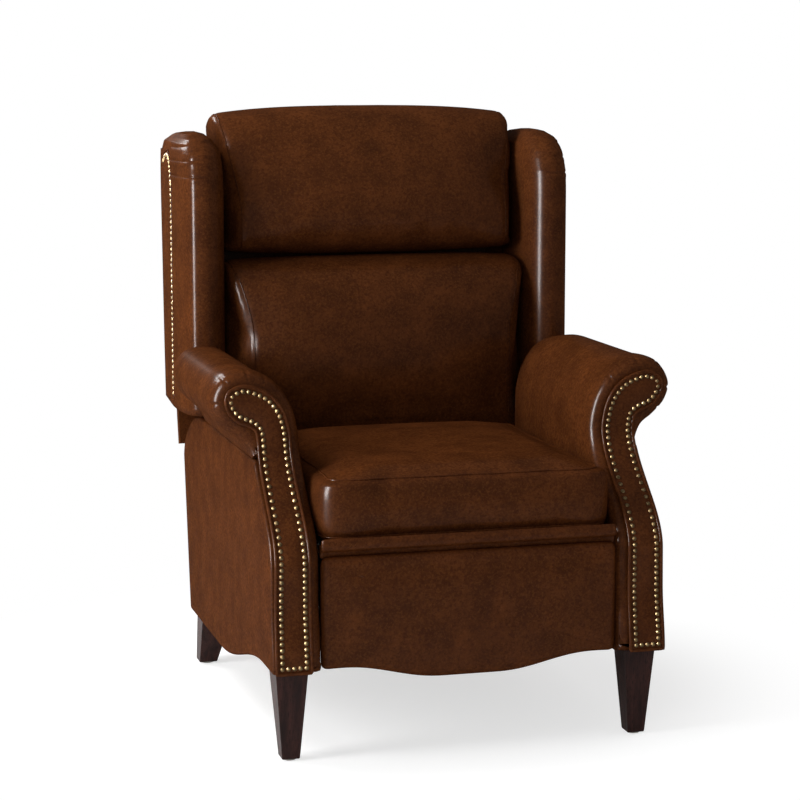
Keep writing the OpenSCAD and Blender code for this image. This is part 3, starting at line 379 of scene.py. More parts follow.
bright_steel = finish("zinc", WORN, {
    "Tone": (0.55, 0.55, 0.56, 1), "Dark": (0.38, 0.38, 0.39, 1), "Smooth": 0.25, "Rough": 0.42},
    bump=0.04, Metallic=1.0)
brass = finish("aged_brass", WORN, {
    "Tone": (0.24, 0.168, 0.084, 1), "Dark": (0.10, 0.067, 0.031, 1), "Patch size": 260.0,
    "Smooth": 0.44, "Rough": 0.62}, bump=0.05, Metallic=1.0)
nylon = finish("nylon", WORN, {
    "Tone": (0.72, 0.70, 0.64, 1), "Dark": (0.60, 0.58, 0.52, 1), "Smooth": 0.42, "Rough": 0.5})
cloth = finish("platform_cloth", WORN, {
    "Tone": (0.020, 0.019, 0.018, 1), "Dark": (0.012, 0.012, 0.011, 1), "Patch size": 700.0,
    "Smooth": 0.85, "Rough": 0.95}, bump=0.3)

slots = {s["node"]: s["material_slot"] for s in frame["record"]["subparts"]}
looks = dict(leather=hide, leather_dark=hide_dark, fabric_black=cloth, wood_dark=walnut, wood_frame=birch,
             steel_black=black_steel, steel_bright=bright_steel, brass_antique=brass, nylon=nylon)
for node, obj in frame["nodes"].items():
    obj.data.materials.clear()
    obj.data.materials.append(looks[slots[node]])
print(len(frame["nodes"]), "CAD nodes dressed")

# %% [markdown]
# ## Softer edges on wood
# A real leg or rail has its edges eased. The CAD mesh is loose triangles, so a Weld joins them first,
# and a small Bevel then catches the light along each edge.

# %% Eased edges
def ease_edges(node, width, segments=2):
    """Bevels the edges of a CAD node, without a change to its mesh."""
    obj = frame["nodes"][node]
    weld = obj.modifiers.new("weld", "WELD")
    weld.merge_threshold = 0.00002
    bevel = obj.modifiers.new("bevel", "BEVEL")
    bevel.width, bevel.segments = width, segments
    bevel.limit_method, bevel.angle_limit = "ANGLE", math.radians(40)
    obj.data.polygons.foreach_set("use_smooth", np.zeros(len(obj.data.polygons), bool))


for end in ("front_leg_", "rear_leg_"):
    for side in ("left", "right"):
        ease_edges(end + side, 0.0022, 3)
for node in ("cross_rail", "corner_blocks", "footrest_board", "rear_rail"):
    ease_edges(node, 0.002)

# %% [markdown]
# ## The chair's own curves
# The side of the chair is drawn by a few curves, in metres, that the CAD source uses too: the front
# that sweeps back under the scroll, the sill that rises to the front leg, and the arm's section.
# Distances from the front plane are written d, and d = 0.481 is the chair's middle.

# %% Shared curves
MID = 0.481
LEG_TOP, REAR_TOP = 0.160, 0.097  # heights of the sill over the front and the rear leg
ROLL_Z, ARM_H, ARM_IN, ARM_OUT = 0.504, 0.652, 0.264, 0.418  # the roll's low and high z, near and far x
ARM_LOW, ARM_FLANK, ARM_REAR = 0.10, 0.318, 0.609 - MID


def front_y(z):
    """Front surface of the arm at height z, as the model's y."""
    swept = mix(0.017, 0.162, ease((z - 0.342) / (0.538 - 0.342)))
    return swept - 0.012 * ease((LEG_TOP + 0.120 - z) / 0.120) - MID


def sill(y):
    """Lower edge of the side walls at y: level at the rear, rising in a soft S to the front leg."""
    return mix(REAR_TOP, LEG_TOP, ease((0.480 - (y + MID)) / 0.380))


roll_shares = np.array([
    [0, 0], [0.013, 0.29], [0.084, 0.565], [0.234, 0.81], [0.455, 0.96], [0.675, 1], [0.883, 0.925], [1, 0.70],
    [0.948, 0.483], [0.805, 0.32], [0.66, 0.197], [0.56, 0]])
scroll_shares = np.array([
    [0.44, 0], [0.441, 0.2], [0.471, 0.362], [0.572, 0.45], [0.695, 0.502], [0.784, 0.603], [0.796, 0.735],
    [0.673, 0.8], [0.527, 0.767], [0.392, 0.693], [0.301, 0.588], [0.244, 0.469], [0.212, 0.344],
    [0.195, 0.216], [0.191, 0]])
roll, scroll = (flowing(np.array([ARM_IN, ROLL_Z]) + s * np.array([ARM_OUT - ARM_IN, ARM_H - ROLL_Z]), 8)
                for s in (roll_shares, scroll_shares))
nail_line = np.vstack([[[scroll[0, 0] + 0.004, 0.173]], scroll, [[scroll[-1, 0], 0.173]]])
print("nail line of one arm", round(float(np.linalg.norm(np.diff(nail_line, axis=0), axis=1).sum()), 3), "m")

# %% [markdown]
# ## Padded arms
# The leather of an arm is pulled over the roll and turned in round the front, where it is gathered
# in small pleats. The form is the arm's section, one point for each step round it, carried from the
# rear to the front. Each point stops at the swept front at its own height, and the last rings
# shrink inwards to round the front edge over the padding.

# %% Arm surface
def arm_surface(board=0.0115, edge_r=0.020):
    """Rings of the arm: a rounded rear, the body with its pleats, and a front edge rounded by edge_r.

    It stops a board behind the swept front. A pleat is a bell curve over the angle round the scroll."""
    section = np.vstack([[[ARM_IN, ARM_LOW]], roll, [[ARM_FLANK, ROLL_Z - 0.002]], [[ARM_FLANK, ARM_LOW]]])
    s = even(section, 480, closed=True)[::-1]
    n = outward(s)
    up = s[:, 1]
    on_top = ease((up - 0.520) / 0.05)
    outer = ease((s[:, 0] - 0.300) / 0.060) * on_top
    rear_r, stretch = 0.003 + 0.023 * outer, 1 + 1.2 * outer
    front = front_y(up) + board
    angle = np.arctan2(up - 0.590, s[:, 0] - 0.345)
    pleats = sum(np.exp(-((angle - a) / 0.030) ** 2) for a in (-0.5, 0.12, 0.78, 1.4, 1.95, 2.5))

    def ring(inset, y):
        x = s - n * np.reshape(inset, (-1, 1))
        z = np.where(x[:, 1] < 0.30, mix(sill(y), 0.30, (x[:, 1] - ARM_LOW) / 0.20), x[:, 1])
        return np.stack([x[:, 0], y, z], -1)

    rings = [ring(0.8 * rear_r * (1 - math.cos(a)), ARM_REAR - rear_r * (1 - math.sin(a)) * stretch)
             for a in np.linspace(math.pi / 2, 0, 8)]
    for t in np.linspace(0.03, 0.97, 30):
        y = mix(ARM_REAR - rear_r * stretch, front + edge_r, t)
        near = np.exp(-(y - front - edge_r) / 0.016)
        puff = 0.0035 * np.exp(-((y - front - 0.050) / 0.040) ** 2) * on_top
        rings.append(ring(0.0026 * pleats * near * on_top - puff, y))
    for a in np.linspace(0, math.pi / 2, 12):
        inset, ahead = edge_r * (1 - math.cos(a)), edge_r * (1 - math.sin(a))
        inset = inset + 0.0028 * pleats * on_top * (1 - inset / 0.022)
        rings.append(ring(inset, front_y((s - n * inset[:, None])[:, 1]) + board + ahead))
    return np.array(rings)


arm = arm_surface()
for side, f in SIDES:
    o = new_piece("arm_cover_" + side, f(arm), capped_grid(arm), hide)
    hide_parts("arm_" + side)
    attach(o, "base")
print("arm rings", arm.shape)

# %% [markdown]
# ## Arm facings
# The facing is a strip of leather over a thin board. It runs up the arm's front and round the scroll,
# between two edges that meet at the tip. A grid is stretched from one edge to the other and swells a
# little in its middle, and piping follows its rim.

# %% Facing surface
def grown(p, d):
    """A closed anticlockwise outline moved outwards by d, with mitred corners."""
    a = p - np.roll(p, 1, 0)
    b = np.roll(p, -1, 0) - p
    a, b = (v / (np.linalg.norm(v, axis=1)[:, None] + 1e-12) for v in (a, b))
    na, nb = (np.stack([v[:, 1], -v[:, 0]], -1) for v in (a, b))
    return p + d * (na + nb) / (1 + np.sum(na * nb, 1))[:, None]


def facing_surface(margin, proud, steps=110):
    """The facing's rings and its rim, which lies margin outside the nails; its middle swells by proud."""
    rim = grown(nail_line, margin)
    tip = int(np.argmax(rim[:, 0] * 0.8 + rim[:, 1] * 0.25))
    lower, upper = even(rim[:tip + 1], steps), even(rim[tip:][::-1], steps)
    across = np.linspace(0, 1, 15)
    grid = mix(lower[:, None], upper[:, None], across[None, :, None])
    dip = ease((1 - np.abs(2 * across - 1) - 0.30) / 0.45)
    swell = proud * dip[None, :] * np.minimum(1, np.linspace(0, 12, steps))[:, None]
    y = front_y(grid[..., 1]) + 0.0006 - swell
    face = np.stack([grid[..., 0], y, grid[..., 1]], -1)
    behind = face + np.array([0, 0.010, 0]) + np.stack([0 * y, swell, 0 * y], -1)
    return np.concatenate([face, behind[:, ::-1]], axis=1), rim


facing, rim = facing_surface(0.0088, 0.0024)
cord = even(rim, 260, closed=True)
cord = np.stack([cord[:, 0], front_y(cord[:, 1]) + 0.0012, cord[:, 1]], -1)
for side, f in SIDES:
    o = new_piece("facing_" + side, f(facing), capped_grid(facing), hide)
    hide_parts("arm_facing_" + side)
    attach(o, "base")
    w = piping("facing_piping_" + side, f(cord), 0.0034, hide, closed=True)
    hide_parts("arm_welt_" + side)
    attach(w, "base")
print("facing rings", facing.shape)

# %% [markdown]
# ## Upholstered panels
# A wall panel is a board with a thin pad and leather pulled round its edges. Its outline is set inwards
# ring by ring while it rises, which rounds the rim. Inside it the pad swells with the distance from the
# rim and soon levels off, so the middle is calm and has no creases along the rings.

# %% Panel surface
def depth_inside(q, rim):
    """Distance from each point to the nearest edge of a closed outline."""
    a, b = rim[None], np.roll(rim, -1, 0)[None]
    ab, flat = b - a, q.reshape(-1, 1, 2)
    t = np.clip(np.sum((flat - a) * ab, -1) / (np.sum(ab * ab, -1) + 1e-12), 0, 1)
    return np.linalg.norm(flat - a - t[..., None] * ab, axis=-1).min(1).reshape(q.shape[:-1])


def softened(p, reach):
    """A closed outline with rounded corners: each point becomes a bell-weighted mean of its neighbours."""
    step = np.linalg.norm(np.diff(p, axis=0), axis=1).mean()
    k = max(1, int(round(2.5 * reach / step)))
    w = np.exp(-np.linspace(-2, 2, 2 * k + 1) ** 2)
    w /= w.sum()
    q = np.concatenate([p[-k:], p, p[:k]])
    return np.column_stack([np.convolve(q[:, i], w, "valid") for i in range(2)])


def panel_rings(outline, round_r, crown, half, count):
    """Rings (a, b, height) of a padded board: a rounded rim, then crown (1 - exp(-(d / 30 mm)^2)) inside."""
    p = even(outline, count, closed=True)
    p = softened(p if signed_area(p) > 0 else p[::-1], 0.8 * round_r)
    n = outward(p)
    c = (p.max(0) + p.min(0)) / 2
    rings = [np.column_stack([p, np.full(count, 0.0)])]
    for a in np.linspace(0, math.pi / 2, 8)[1:]:
        q = p - n * round_r * (1 - math.cos(a))
        rings.append(np.column_stack([q, np.full(count, half - round_r + round_r * math.sin(a))]))
    rim_p = rings[-1][:, :2]
    for k in np.concatenate([[0.985, 0.965, 0.94, 0.91, 0.87], np.linspace(0.82, 0, 14)]):
        q = c + (rim_p - c) * max(k, 0.02)
        lift = crown * (1 - np.exp(-(depth_inside(q, rim_p) / 0.030) ** 2))
        rings.append(np.column_stack([q, half + lift]))
    return np.array(rings)


def panel(name, outline, place, round_r, crown, half, count):
    """A padded board: place(a, b, h) turns the plane's a, b and height h into x, y, z."""
    r = panel_rings(outline, round_r, crown, half, count)
    grid = np.stack(place(r[..., 0], r[..., 1], r[..., 2]), -1)
    return new_piece(name, grid, capped_grid(grid), hide)


# %% Side panels
PANEL_X = 0.338


def side_outline():
    """The wall's outline in y and z: up the swept front, round the rear corner and along the sill."""
    z = np.linspace(LEG_TOP, 0.502, 60)
    front = np.column_stack([front_y(z) + 0.0112, z])
    corner = np.array([[0, 1], [0.3, 0.93], [0.56, 0.76], [0.8, 0.5], [0.94, 0.25], [1, 0]])
    rear = flowing(np.column_stack([0.660 + 0.192 * corner[:, 0] - MID, mix(0.402, 0.502, corner[:, 1])]), 6)
    y = np.linspace(0.797 - MID, 0.100 - MID, 60)
    return np.vstack([front, rear, np.column_stack([y, sill(y)])])


for side, k in (("right", 1), ("left", -1)):
    o = panel("side_panel_" + side, side_outline(), lambda a, b, h: (k * (PANEL_X + h), a, b),
              round_r=0.005, crown=0.002, half=0.012, count=360)
    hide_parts("side_wall_" + side)
    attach(o, "base")
print("side panels of", len(o.data.vertices), "points")

# %% [markdown]
# ## Footrest panel
# The footrest is the padded board under the seat. Its lower edge is scalloped, and when the linkage
# opens it turns up to carry the feet.

# %% Footrest pad
FOOT_HALF, FOOT_TOP = 0.2634, 0.355


def scallop(x):
    """Lower edge at x: low in the middle, and up in a smooth step from 0.20 to 0.84 of the half width."""
    share = np.abs(x) / 0.2632
    return 0.1615 - 0.0255 * ease((0.84 - share) / (0.84 - 0.2)) - 0.002 * ease((share - 0.93) / 0.06)


x = np.linspace(-FOOT_HALF, FOOT_HALF, 90)
corners = [[FOOT_HALF, FOOT_TOP], [-FOOT_HALF, FOOT_TOP]]
foot_outline = np.vstack([np.column_stack([x, scallop(x)]), corners])
o = panel("footrest_cover", foot_outline, lambda a, b, h: (a, 0.036 - MID - h, b),
          round_r=0.0135, crown=0.004, half=0.0145, count=420)
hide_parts("footrest_pad")
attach(o, "footrest")
print("footrest of", len(o.data.vertices), "points")

# %% [markdown]
# ## Wings
# A wing is a tall padded form, thick at its front roll and thinner towards the back. Each level is a
# closed outline, the same rounded plan fitted between the wing's inner and outer sides and its front
# and rear at that height. Near the top the levels shrink towards the crest, and three soft pleats
# cross the leather on the outer side.

# %% Wing surface
plan = flowing(np.array([
    [0, 0.38], [0.02, 0.20], [0.09, 0.105], [0.24, 0.034], [0.48, 0], [0.72, 0.010], [0.83, 0.034],
    [0.895, 0.080], [0.945, 0.15], [0.985, 0.27], [0.985, 0.42], [0.9, 0.75], [0.83, 1]]), 8)
plan = even(np.vstack([plan, [[0, 1.0]]]), 150, closed=True)
shell = np.array([[0.845, 0], [0.915, 0.17], [0.948, 0.33], [0.975, 0.62], [1, 0.9], [0.985, 1]])
SHELL = flowing(shell * np.array([0.340, 0.592]) + np.array([0.622, 0.412]), 8)
WING_IN, WING_OUT, WING_FRONT, WING_REAR = 0.296, 0.386, 0.612, 0.962
WING_LOW = 0.512


def shell_rear(z):
    """Rear face of the wings: the outside back's curve, moved in by its thickness."""
    return np.interp(z, SHELL[:, 1], SHELL[:, 0]) - 0.0205 - MID


def wing_surface():
    """Levels of the wing from its foot to its crest, with the pleats drawn in."""
    levels = np.concatenate([np.linspace(WING_LOW, 0.935, 34), np.linspace(0.937, 1.0200, 56),
                             1.0205 + 0.0230 * np.sin(np.linspace(0, 1, 26)[1:] * math.pi / 2)])
    front_top = np.array([[WING_FRONT, 0.93], [0.6155, 0.965], [0.633, 1.004], [0.664, 1.031],
                          [0.717, 1.0428], [0.750, 1.0438]])
    rear_top = np.array([[0.937, 1.000], [0.906, 1.020], [0.843, 1.036], [0.790, 1.0432], [0.765, 1.0439]])
    out_top = np.array([[WING_OUT, 0.970], [0.3845, 0.996], [0.379, 1.023], [0.3635, 1.040], [0.345, 1.0438]])
    in_top = np.array([[WING_IN, 0.990], [0.3015, 1.017], [0.3185, 1.0395], [0.335, 1.0438]])
    shape = []
    for z in levels:
        y0, rear, x1, x0 = (np.interp(z, t[:, 1], t[:, 0]) for t in (front_top, rear_top, out_top, in_top))
        y1 = min(float(shell_rear(z)), float(rear) - MID)
        y = np.minimum(y0 - MID + 0.350 * plan[:, 1], y1)
        level = even(np.column_stack([mix(x0, x1, plan[:, 0]), y]), len(plan), closed=True)
        shape.append(np.column_stack([level, np.full(len(level), z)]))
    shape = np.array(shape)
    # Each pleat starts on the outer side and fades over the front roll. The leather dips at its line
    # and stands a little proud under it.
    across = np.clip((shape[..., 0] - WING_IN) / 0.090, 0, 1)
    pleats = ((0.962, 0.000, 0.30, 1.0), (0.990, 0.004, 0.36, 0.8), (1.012, 0.012, 0.30, 0.7))
    dip = 0
    for height, bend, start, sharp in pleats:
        dz = shape[..., 2] - (height + bend * np.sin(math.pi * across))
        fade = ease((across - start) / 0.22) * ease((0.790 - MID - shape[..., 1]) / 0.03)
        dip = dip + sharp * fade * (0.0024 * np.exp(-(dz / 0.0020) ** 2)
                                    - 0.0012 * np.exp(-((dz + 0.006) / 0.005) ** 2))
    away = shape - shape.mean(axis=1, keepdims=True)
    away[..., 2] = 0
    away /= np.linalg.norm(away, axis=-1, keepdims=True) + 1e-9
    return shape - away * dip[..., None]


wing = wing_surface()
for side, f in SIDES:
    o = new_piece("wing_cover_" + side, f(wing), capped_grid(wing), hide)
    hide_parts("wing_" + side)
    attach(o, "back")
print("wing levels", wing.shape)

# %% [markdown]
# The seam of a wing runs up its outer side and bends back under the crest. Its path is drawn in the
# side view, and the plan of the wing gives the x of each point.

# %% Wing piping
edge = flowing(np.array([
    [0, 0.03], [0, 0.8], [0.03, 0.89], [0.12, 0.96], [0.28, 0.99], [0.5, 0.985], [0.78, 0.955]]), 8)
edge = np.column_stack([mix(0.748, 0.942, edge[:, 0]) - MID, mix(WING_LOW, 1.010, edge[:, 1])])
edge = even(edge, 150)
outer = np.array([p for p in plan if p[0] > 0.6 and p[1] > 0.15])
outer = outer[np.argsort(outer[:, 1])]
outer_y, outer_x = mix(WING_FRONT, WING_REAR, outer[:, 1]) - MID, mix(WING_IN, WING_OUT, outer[:, 0])
edge_x = np.interp(edge[:, 0], outer_y, outer_x)
path = np.column_stack([edge_x + 0.0001, edge[:, 0], edge[:, 1]])
for side, f in SIDES:
    o = piping("wing_piping_" + side, f(path), 0.0013, hide_dark)
    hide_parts("wing_welts")
    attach(o, "back")
print("wing piping", len(path), "points")

# %% [markdown]
# ## Cushions
# Each cushion is a boxed cover filled with foam and down. It starts a little smaller than its space,
# as a closed ring-by-ring form, and cloth simulation blows it up: pressure pushes the leather out
# until its stretch holds it, which gives the crown and the soft pull between the corners. How far a
# point may move is capped. Half of that travel is taken, calmed over the neighbouring points, and the
# form is then scaled back to its space. Seams come after it. The quick form leaves the simulation out. Seams
# come after it.

# %% Cushion form and simulation
def rounded_box(half, r, count):
    """Rounded rectangle: a quarter circle of radius r at each corner, evenly spaced points."""
    a = np.linspace(0, np.pi / 2, 10)
    arc = np.column_stack([np.cos(a), np.sin(a)]) * r
    parts = []
    for c, s, x, y in ((1, 0, 1, 1), (0, 1, -1, 1), (-1, 0, -1, -1), (0, -1, 1, -1)):
        parts.append(arc @ np.array([[c, s], [-s, c]]) + (half - r) * [x, y])
    return even(np.vstack(parts), count, closed=True)


def cushion_form(half, thick, crown, corner, count=160):
    """Closed cushion: outlines up the boxing, then a crown c (1 - |x|^3)(1 - |y|^5) over the face."""
    p = rounded_box(half, corner, count)
    level = lambda k, z: np.column_stack([p * k, np.broadcast_to(z, count)])
    rings = [level(k, -thick / 2) for k in (0.04, 0.3, 0.6, 0.85, 0.96)]
    rings += [level(1 - 0.010 * abs(t) ** 4, t * thick / 2) for t in np.linspace(-1, 1, 9)]
    for k in (0.975, 0.94, 0.88, 0.8, 0.7, 0.58, 0.44, 0.3, 0.15, 0.04):
        u = np.abs(p * k / half)
        rings.append(level(k, thick / 2 + crown * (1 - u[:, 0] ** 3) * (1 - u[:, 1] ** 5)))
    return np.array(rings)


def calmed(mesh, values, rounds):
    """Each point's vector becomes the mean of its own and its neighbours', some rounds over.

    Fine creases fade, and the broad swell stays."""
    n = len(mesh.vertices)
    e = np.empty(len(mesh.edges) * 2, int)
    mesh.edges.foreach_get("vertices", e)
    a, b = e.reshape(-1, 2).T
    count = np.bincount(a, minlength=n) + np.bincount(b, minlength=n) + 1.0
    for _ in range(rounds):
        sums = [v + np.bincount(a, v[b], n) + np.bincount(b, v[a], n) for v in values.T]
        values = np.stack([v / count for v in sums], -1)
    return values


CAP, TRAVEL, PRESSURE, FRAMES = 0.026, 0.5, 4.0, 20
VOXEL = 0.006


def blow_up(obj):
    """Remeshes the cushion evenly, runs cloth with pressure, and gives its points after their travel.

    Each point's travel is capped, calmed, and taken by the share TRAVEL."""
    start_mesh = obj.data
    mod = obj.modifiers.new("remesh", "REMESH")
    mod.mode, mod.voxel_size = "VOXEL", VOXEL
    deps = bpy.context.evaluated_depsgraph_get()
    obj.data = bpy.data.meshes.new_from_object(obj.evaluated_get(deps))
    obj.modifiers.clear()
    bpy.data.meshes.remove(start_mesh)
    n = len(obj.data.vertices)
    rest = np.empty(n * 3)
    obj.data.vertices.foreach_get("co", rest)
    rest = rest.reshape(-1, 3)
    m = obj.modifiers.new("cloth", "CLOTH")
    c = m.settings
    c.quality, c.mass = 4, 0.5
    c.tension_stiffness = c.compression_stiffness = 18
    c.shear_stiffness, c.bending_stiffness = 8, 1.5
    c.use_pressure, c.uniform_pressure_force = True, PRESSURE
    c.effector_weights.gravity = 0
    m.point_cache.frame_start, m.point_cache.frame_end = 1, FRAMES
    scene = bpy.context.scene
    for f in range(1, FRAMES + 1):
        scene.frame_set(f)
    deps = bpy.context.evaluated_depsgraph_get()
    got = obj.evaluated_get(deps).to_mesh()
    blown = np.empty(n * 3)
    got.vertices.foreach_get("co", blown)
    obj.evaluated_get(deps).to_mesh_clear()
    obj.modifiers.clear()
    scene.frame_set(1)
    move = blown.reshape(-1, 3) - rest
    far = np.linalg.norm(move, axis=1)
    move *= np.minimum(1, CAP / np.maximum(far, 1e-9))[:, None]
    print(obj.name, "points", n, "most moved", round(float(far.max()), 4))
    return rest + TRAVEL * calmed(obj.data, move, 6)


def put_points(obj, points):
    """Moves a mesh's points to new places, and makes it smooth with its faces outwards."""
    mesh = obj.data
    mesh.vertices.foreach_set("co", points.ravel())
    mesh.update()
    mesh.polygons.foreach_set("use_smooth", np.ones(len(mesh.polygons), bool))
    face_outwards(obj)


def met(obj, points, rays):
    """Where rays of (start, way) meet the mesh with its points so placed; a miss is left out."""
    tree = BVHTree.FromPolygons([tuple(v) for v in points], [tuple(f.vertices) for f in obj.data.polygons])
    hits = [tree.ray_cast(start, way)[0] for start, way in rays]
    return np.array([tuple(h) for h in hits if h])


def settle(points, half, thick, crown):
    """Scales the blown form back to its space: half widths across, thick plus crown high."""
    low, high = points.min(0), points.max(0)
    flat = (points[:, :2] - (low[:2] + high[:2]) / 2) / ((high[:2] - low[:2]) / 2) * half
    z = np.maximum(points[:, 2], -thick / 2)
    return np.column_stack([flat, np.where(z > 0, z * (thick / 2 + crown) / high[2], z)])


def seam_groove(points, level, half, depth=0.0022, reach=0.0045):
    """Pulls the sides in along a level, as a sewn seam does: a bell curve of that reach."""
    near = np.exp(-((points[:, 2] - level) / reach) ** 2)
    side = ease((np.max(np.abs(points[:, :2]) / half, axis=1) - 0.90) / 0.05)
    out = points.copy()
    out[:, :2] *= (1 - depth * near * side / np.max(half))[:, None]
    return out


def make_cushion(name, node, body, width, length, thick, crown, corner, place):
    """A boxed cushion with a seam round its top and its foot; place turns its own space into the chair's."""
    half = np.array([width, length]) / 2
    form = cushion_form(half - 0.010, thick - 0.006, crown * 0.75, corner)
    o = new_piece(name, form, capped_grid(form), hide)
    p = settle(blow_up(o), half, thick, crown)
    seams = (("top", thick / 2 - 0.002), ("low", -thick / 2 + 0.010))
    for tag, level in seams:
        p = seam_groove(p, level, half)
    put_points(o, place(p))
    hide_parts(node)
    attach(o, body)
    ring = rounded_box(half, corner, 300)
    for tag, level in seams:
        points = met(o, p, [(Vector((*(a * 1.3), level)), Vector((*-a, 0)).normalized()) for a in ring])
        line = even(flowing(points[::3], 3, closed=True), 300, closed=True)
        w = piping(name + "_seam_" + tag, place(line), 0.0019, hide, closed=True, sides=6)
        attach(w, body)


# %% Seat cushion
SEAT_WIDE, SEAT_LONG, SEAT_THICK, SEAT_LOW = 0.5272, 0.570, 0.1075, 0.374


def on_seat(p):
    """From the cushion's own space, with its middle at zero, to its place on the seat."""
    return p + np.array([0, 0.315 - MID, SEAT_LOW + SEAT_THICK / 2 + 0.0003])


make_cushion("seat_cushion_cover", "seat_cushion", "seat", SEAT_WIDE, SEAT_LONG, SEAT_THICK,
             crown=0.020, corner=0.038, place=on_seat)

# %% Band under the cushion
BAND_HALF, BAND_R = 0.2622, 0.006


def band_form():
    """A padded lip: one profile in y and z, carried across the seat, with rounded ends."""
    profile = np.array([[-0.4300, 0.3505], [-0.4435, 0.3505], [-0.4465, 0.3630], [-0.4530, 0.3655],
                        [-0.4570, 0.3680], [-0.4585, 0.3740], [-0.4578, 0.3820], [-0.4548, 0.3868],
                        [-0.4518, 0.3855], [-0.4512, 0.3780], [-0.4490, 0.3734], [-0.4300, 0.3732]])
    p = even(profile, 60, closed=True)
    middle = p.mean(0)
    a = np.linspace(0, math.pi / 2, 7)
    from_end, share = BAND_R * (1 - np.sin(a)), 1 - 0.20 * (1 - np.cos(a))
    places = np.concatenate([-BAND_HALF + from_end[::-1], [0.0], BAND_HALF - from_end])
    shares = np.concatenate([share[::-1], [1.0], share])
    rings = [np.column_stack([np.full(60, x), middle + (p - middle) * k]) for x, k in zip(places, shares)]
    return np.array(rings)


lip = band_form()
o = new_piece("seat_lip", lip, capped_grid(lip), hide)
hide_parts("seat_band")
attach(o, "seat")
print("band under the cushion of", len(o.data.vertices), "points")

# %% [markdown]
# ## Back cushions
# The lumbar and head cushions are made another way: one long piece of leather runs under, up the front
# and over the top, and is sewn to a panel at each side. So the form is the side panel's outline carried
# across the chair. It swells forwards and upwards to the middle, and draws in where it meets the panels.
# The head cushion also rolls back over the top of the frame.

# %% Leaned back space
PIVOT = np.array([0, 0.710 - MID, 0.405])
LEAN = math.radians(5)
FACE = 0.0526  # the rear plane of the back cushions, in the upright back's space


def leaned(p):
    """From the upright back's own space to the chair: a turn of 5 degrees about the pivot."""
    y, z = p[..., 1], p[..., 2]
    return np.stack([p[..., 0], PIVOT[1] + y * math.cos(LEAN) + z * math.sin(LEAN),
                     PIVOT[2] + z * math.cos(LEAN) - y * math.sin(LEAN)], -1)


def up_back(z):
    """Height in the upright back's space of a height in the chair."""
    return (z - PIVOT[2]) / math.cos(LEAN)


print("back leans", round(math.degrees(LEAN), 1), "degrees")

# %% Pillow form
def half_at(p, narrow, wide, start, ear=0.0, slant=0.0, foot=0.0):
    """Half width of a back cushion: narrow in front, and from the depth start it widens smoothly over
    60 mm to the wide rear. Added are an ear at the top rear, a foot at the low rear that closes the space
    behind the arms, and a slant that widens the front towards the top."""
    depth, height = p[:, -2] + PIVOT[1] + p[:, -1] * math.sin(LEAN), p[:, -1] + PIVOT[2]
    behind = ease((depth - start) / 0.060)
    narrow = narrow + slant * ease((height - 0.640) / 0.120)
    return (narrow + (wide - narrow) * behind + ear * ease((height - 1.020) / 0.045) * behind
            + foot * ease((0.545 - height) / 0.050) * behind)


def pillow_form(side, z0, z1, thick, half, front, top):
    """The side outline at each place c across, drawn in by a quarter round at the ends; every point moves
    forwards by front (1 - |c|^3) of its share of the thickness, and up by top (1 - |c|^3) of its share
    of the height to the fourth power."""
    p = even(side, 220, closed=True)
    p = p if signed_area(p) > 0 else p[::-1]
    a = np.linspace(0, math.pi / 2, 6)
    edge = 0.012
    ends = np.column_stack([1 - edge / half["wide"] * (1 - np.sin(a)), edge * (1 - np.cos(a))])
    across = np.column_stack([np.linspace(-0.94, 0.94, 40), np.zeros(40)])
    rings = []
    for c, inset in np.vstack([ends[::-1] * [-1, 1], across, ends]):
        q = p - outward(p) * inset
        w = 1 - abs(c) ** 3
        q = np.column_stack([FACE - (FACE - q[:, 0]) * (1 + front / thick * w),
                             q[:, 1] + top * w * (np.maximum(0, q[:, 1] - z0) / (z1 - z0)) ** 4])
        rings.append(np.column_stack([c * half_at(q, **half), q]))
    return np.array(rings)


def fitted(points, low, high):
    """Scales a blown form back into its box, axis by axis."""
    a, b = points.min(0), points.max(0)
    return low + (points - a) / (b - a) * (high - low)


def drawn_in(points, side_x, depth=0.0018, reach=0.0045):
    """Pulls the leather in along the side seams, a bell curve round |x| = side_x at each point."""
    centre = (points.min(0) + points.max(0)) / 2
    near = np.exp(-((np.abs(points[:, 0]) - side_x) / reach) ** 2)
    to = points - centre
    to[:, 0] = 0
    return points - to / (np.linalg.norm(to, axis=1)[:, None] + 1e-9) * (depth * near)[:, None]


SLACK, SEAM_IN = 0.016, 0.0085


def make_pillow(name, node, side, z0, z1, thick, half, front, top, seam):
    """A back cushion: its form starts SLACK smaller, is blown up, fitted back, and drawn in at the seams.

    seam says which part of the side's outline carries the piping."""
    form = pillow_form(side, z0, z1, thick, half, front, top)
    low, high = form.reshape(-1, 3).min(0), form.reshape(-1, 3).max(0)
    centre = (low + high) / 2
    small = centre + (form - centre) * (1 - SLACK / (high - low))
    o = new_piece(name, small, capped_grid(small), hide)
    p = fitted(blow_up(o), low, high)
    p = drawn_in(p, half_at(p, **half) - SEAM_IN)
    put_points(o, leaned(p))
    softer = o.modifiers.new("finer", "SUBSURF")
    softer.levels = softer.render_levels = 1
    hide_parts(node)
    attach(o, "back")
    line = even(side[seam], 120)
    n = np.gradient(line, axis=0)
    n = np.column_stack([n[:, 1], -n[:, 0]]) / np.linalg.norm(n, axis=1)[:, None]
    n *= np.sign(np.sum(n * (line - centre[1:]), 1))[:, None]
    for tag, x in (("left", -1), ("right", 1)):
        rays = [(Vector((x * (e - SEAM_IN), *(q + 0.06 * m))), Vector((0, *-m)))
                for q, m, e in zip(line, n, half_at(line, **half))]
        path = flowing(met(o, p, rays)[::4], 4)
        w = piping(name + "_seam_" + tag, leaned(path), 0.0014, hide_dark, sides=6)
        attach(w, "back")
    print(name, "seams", len(path))


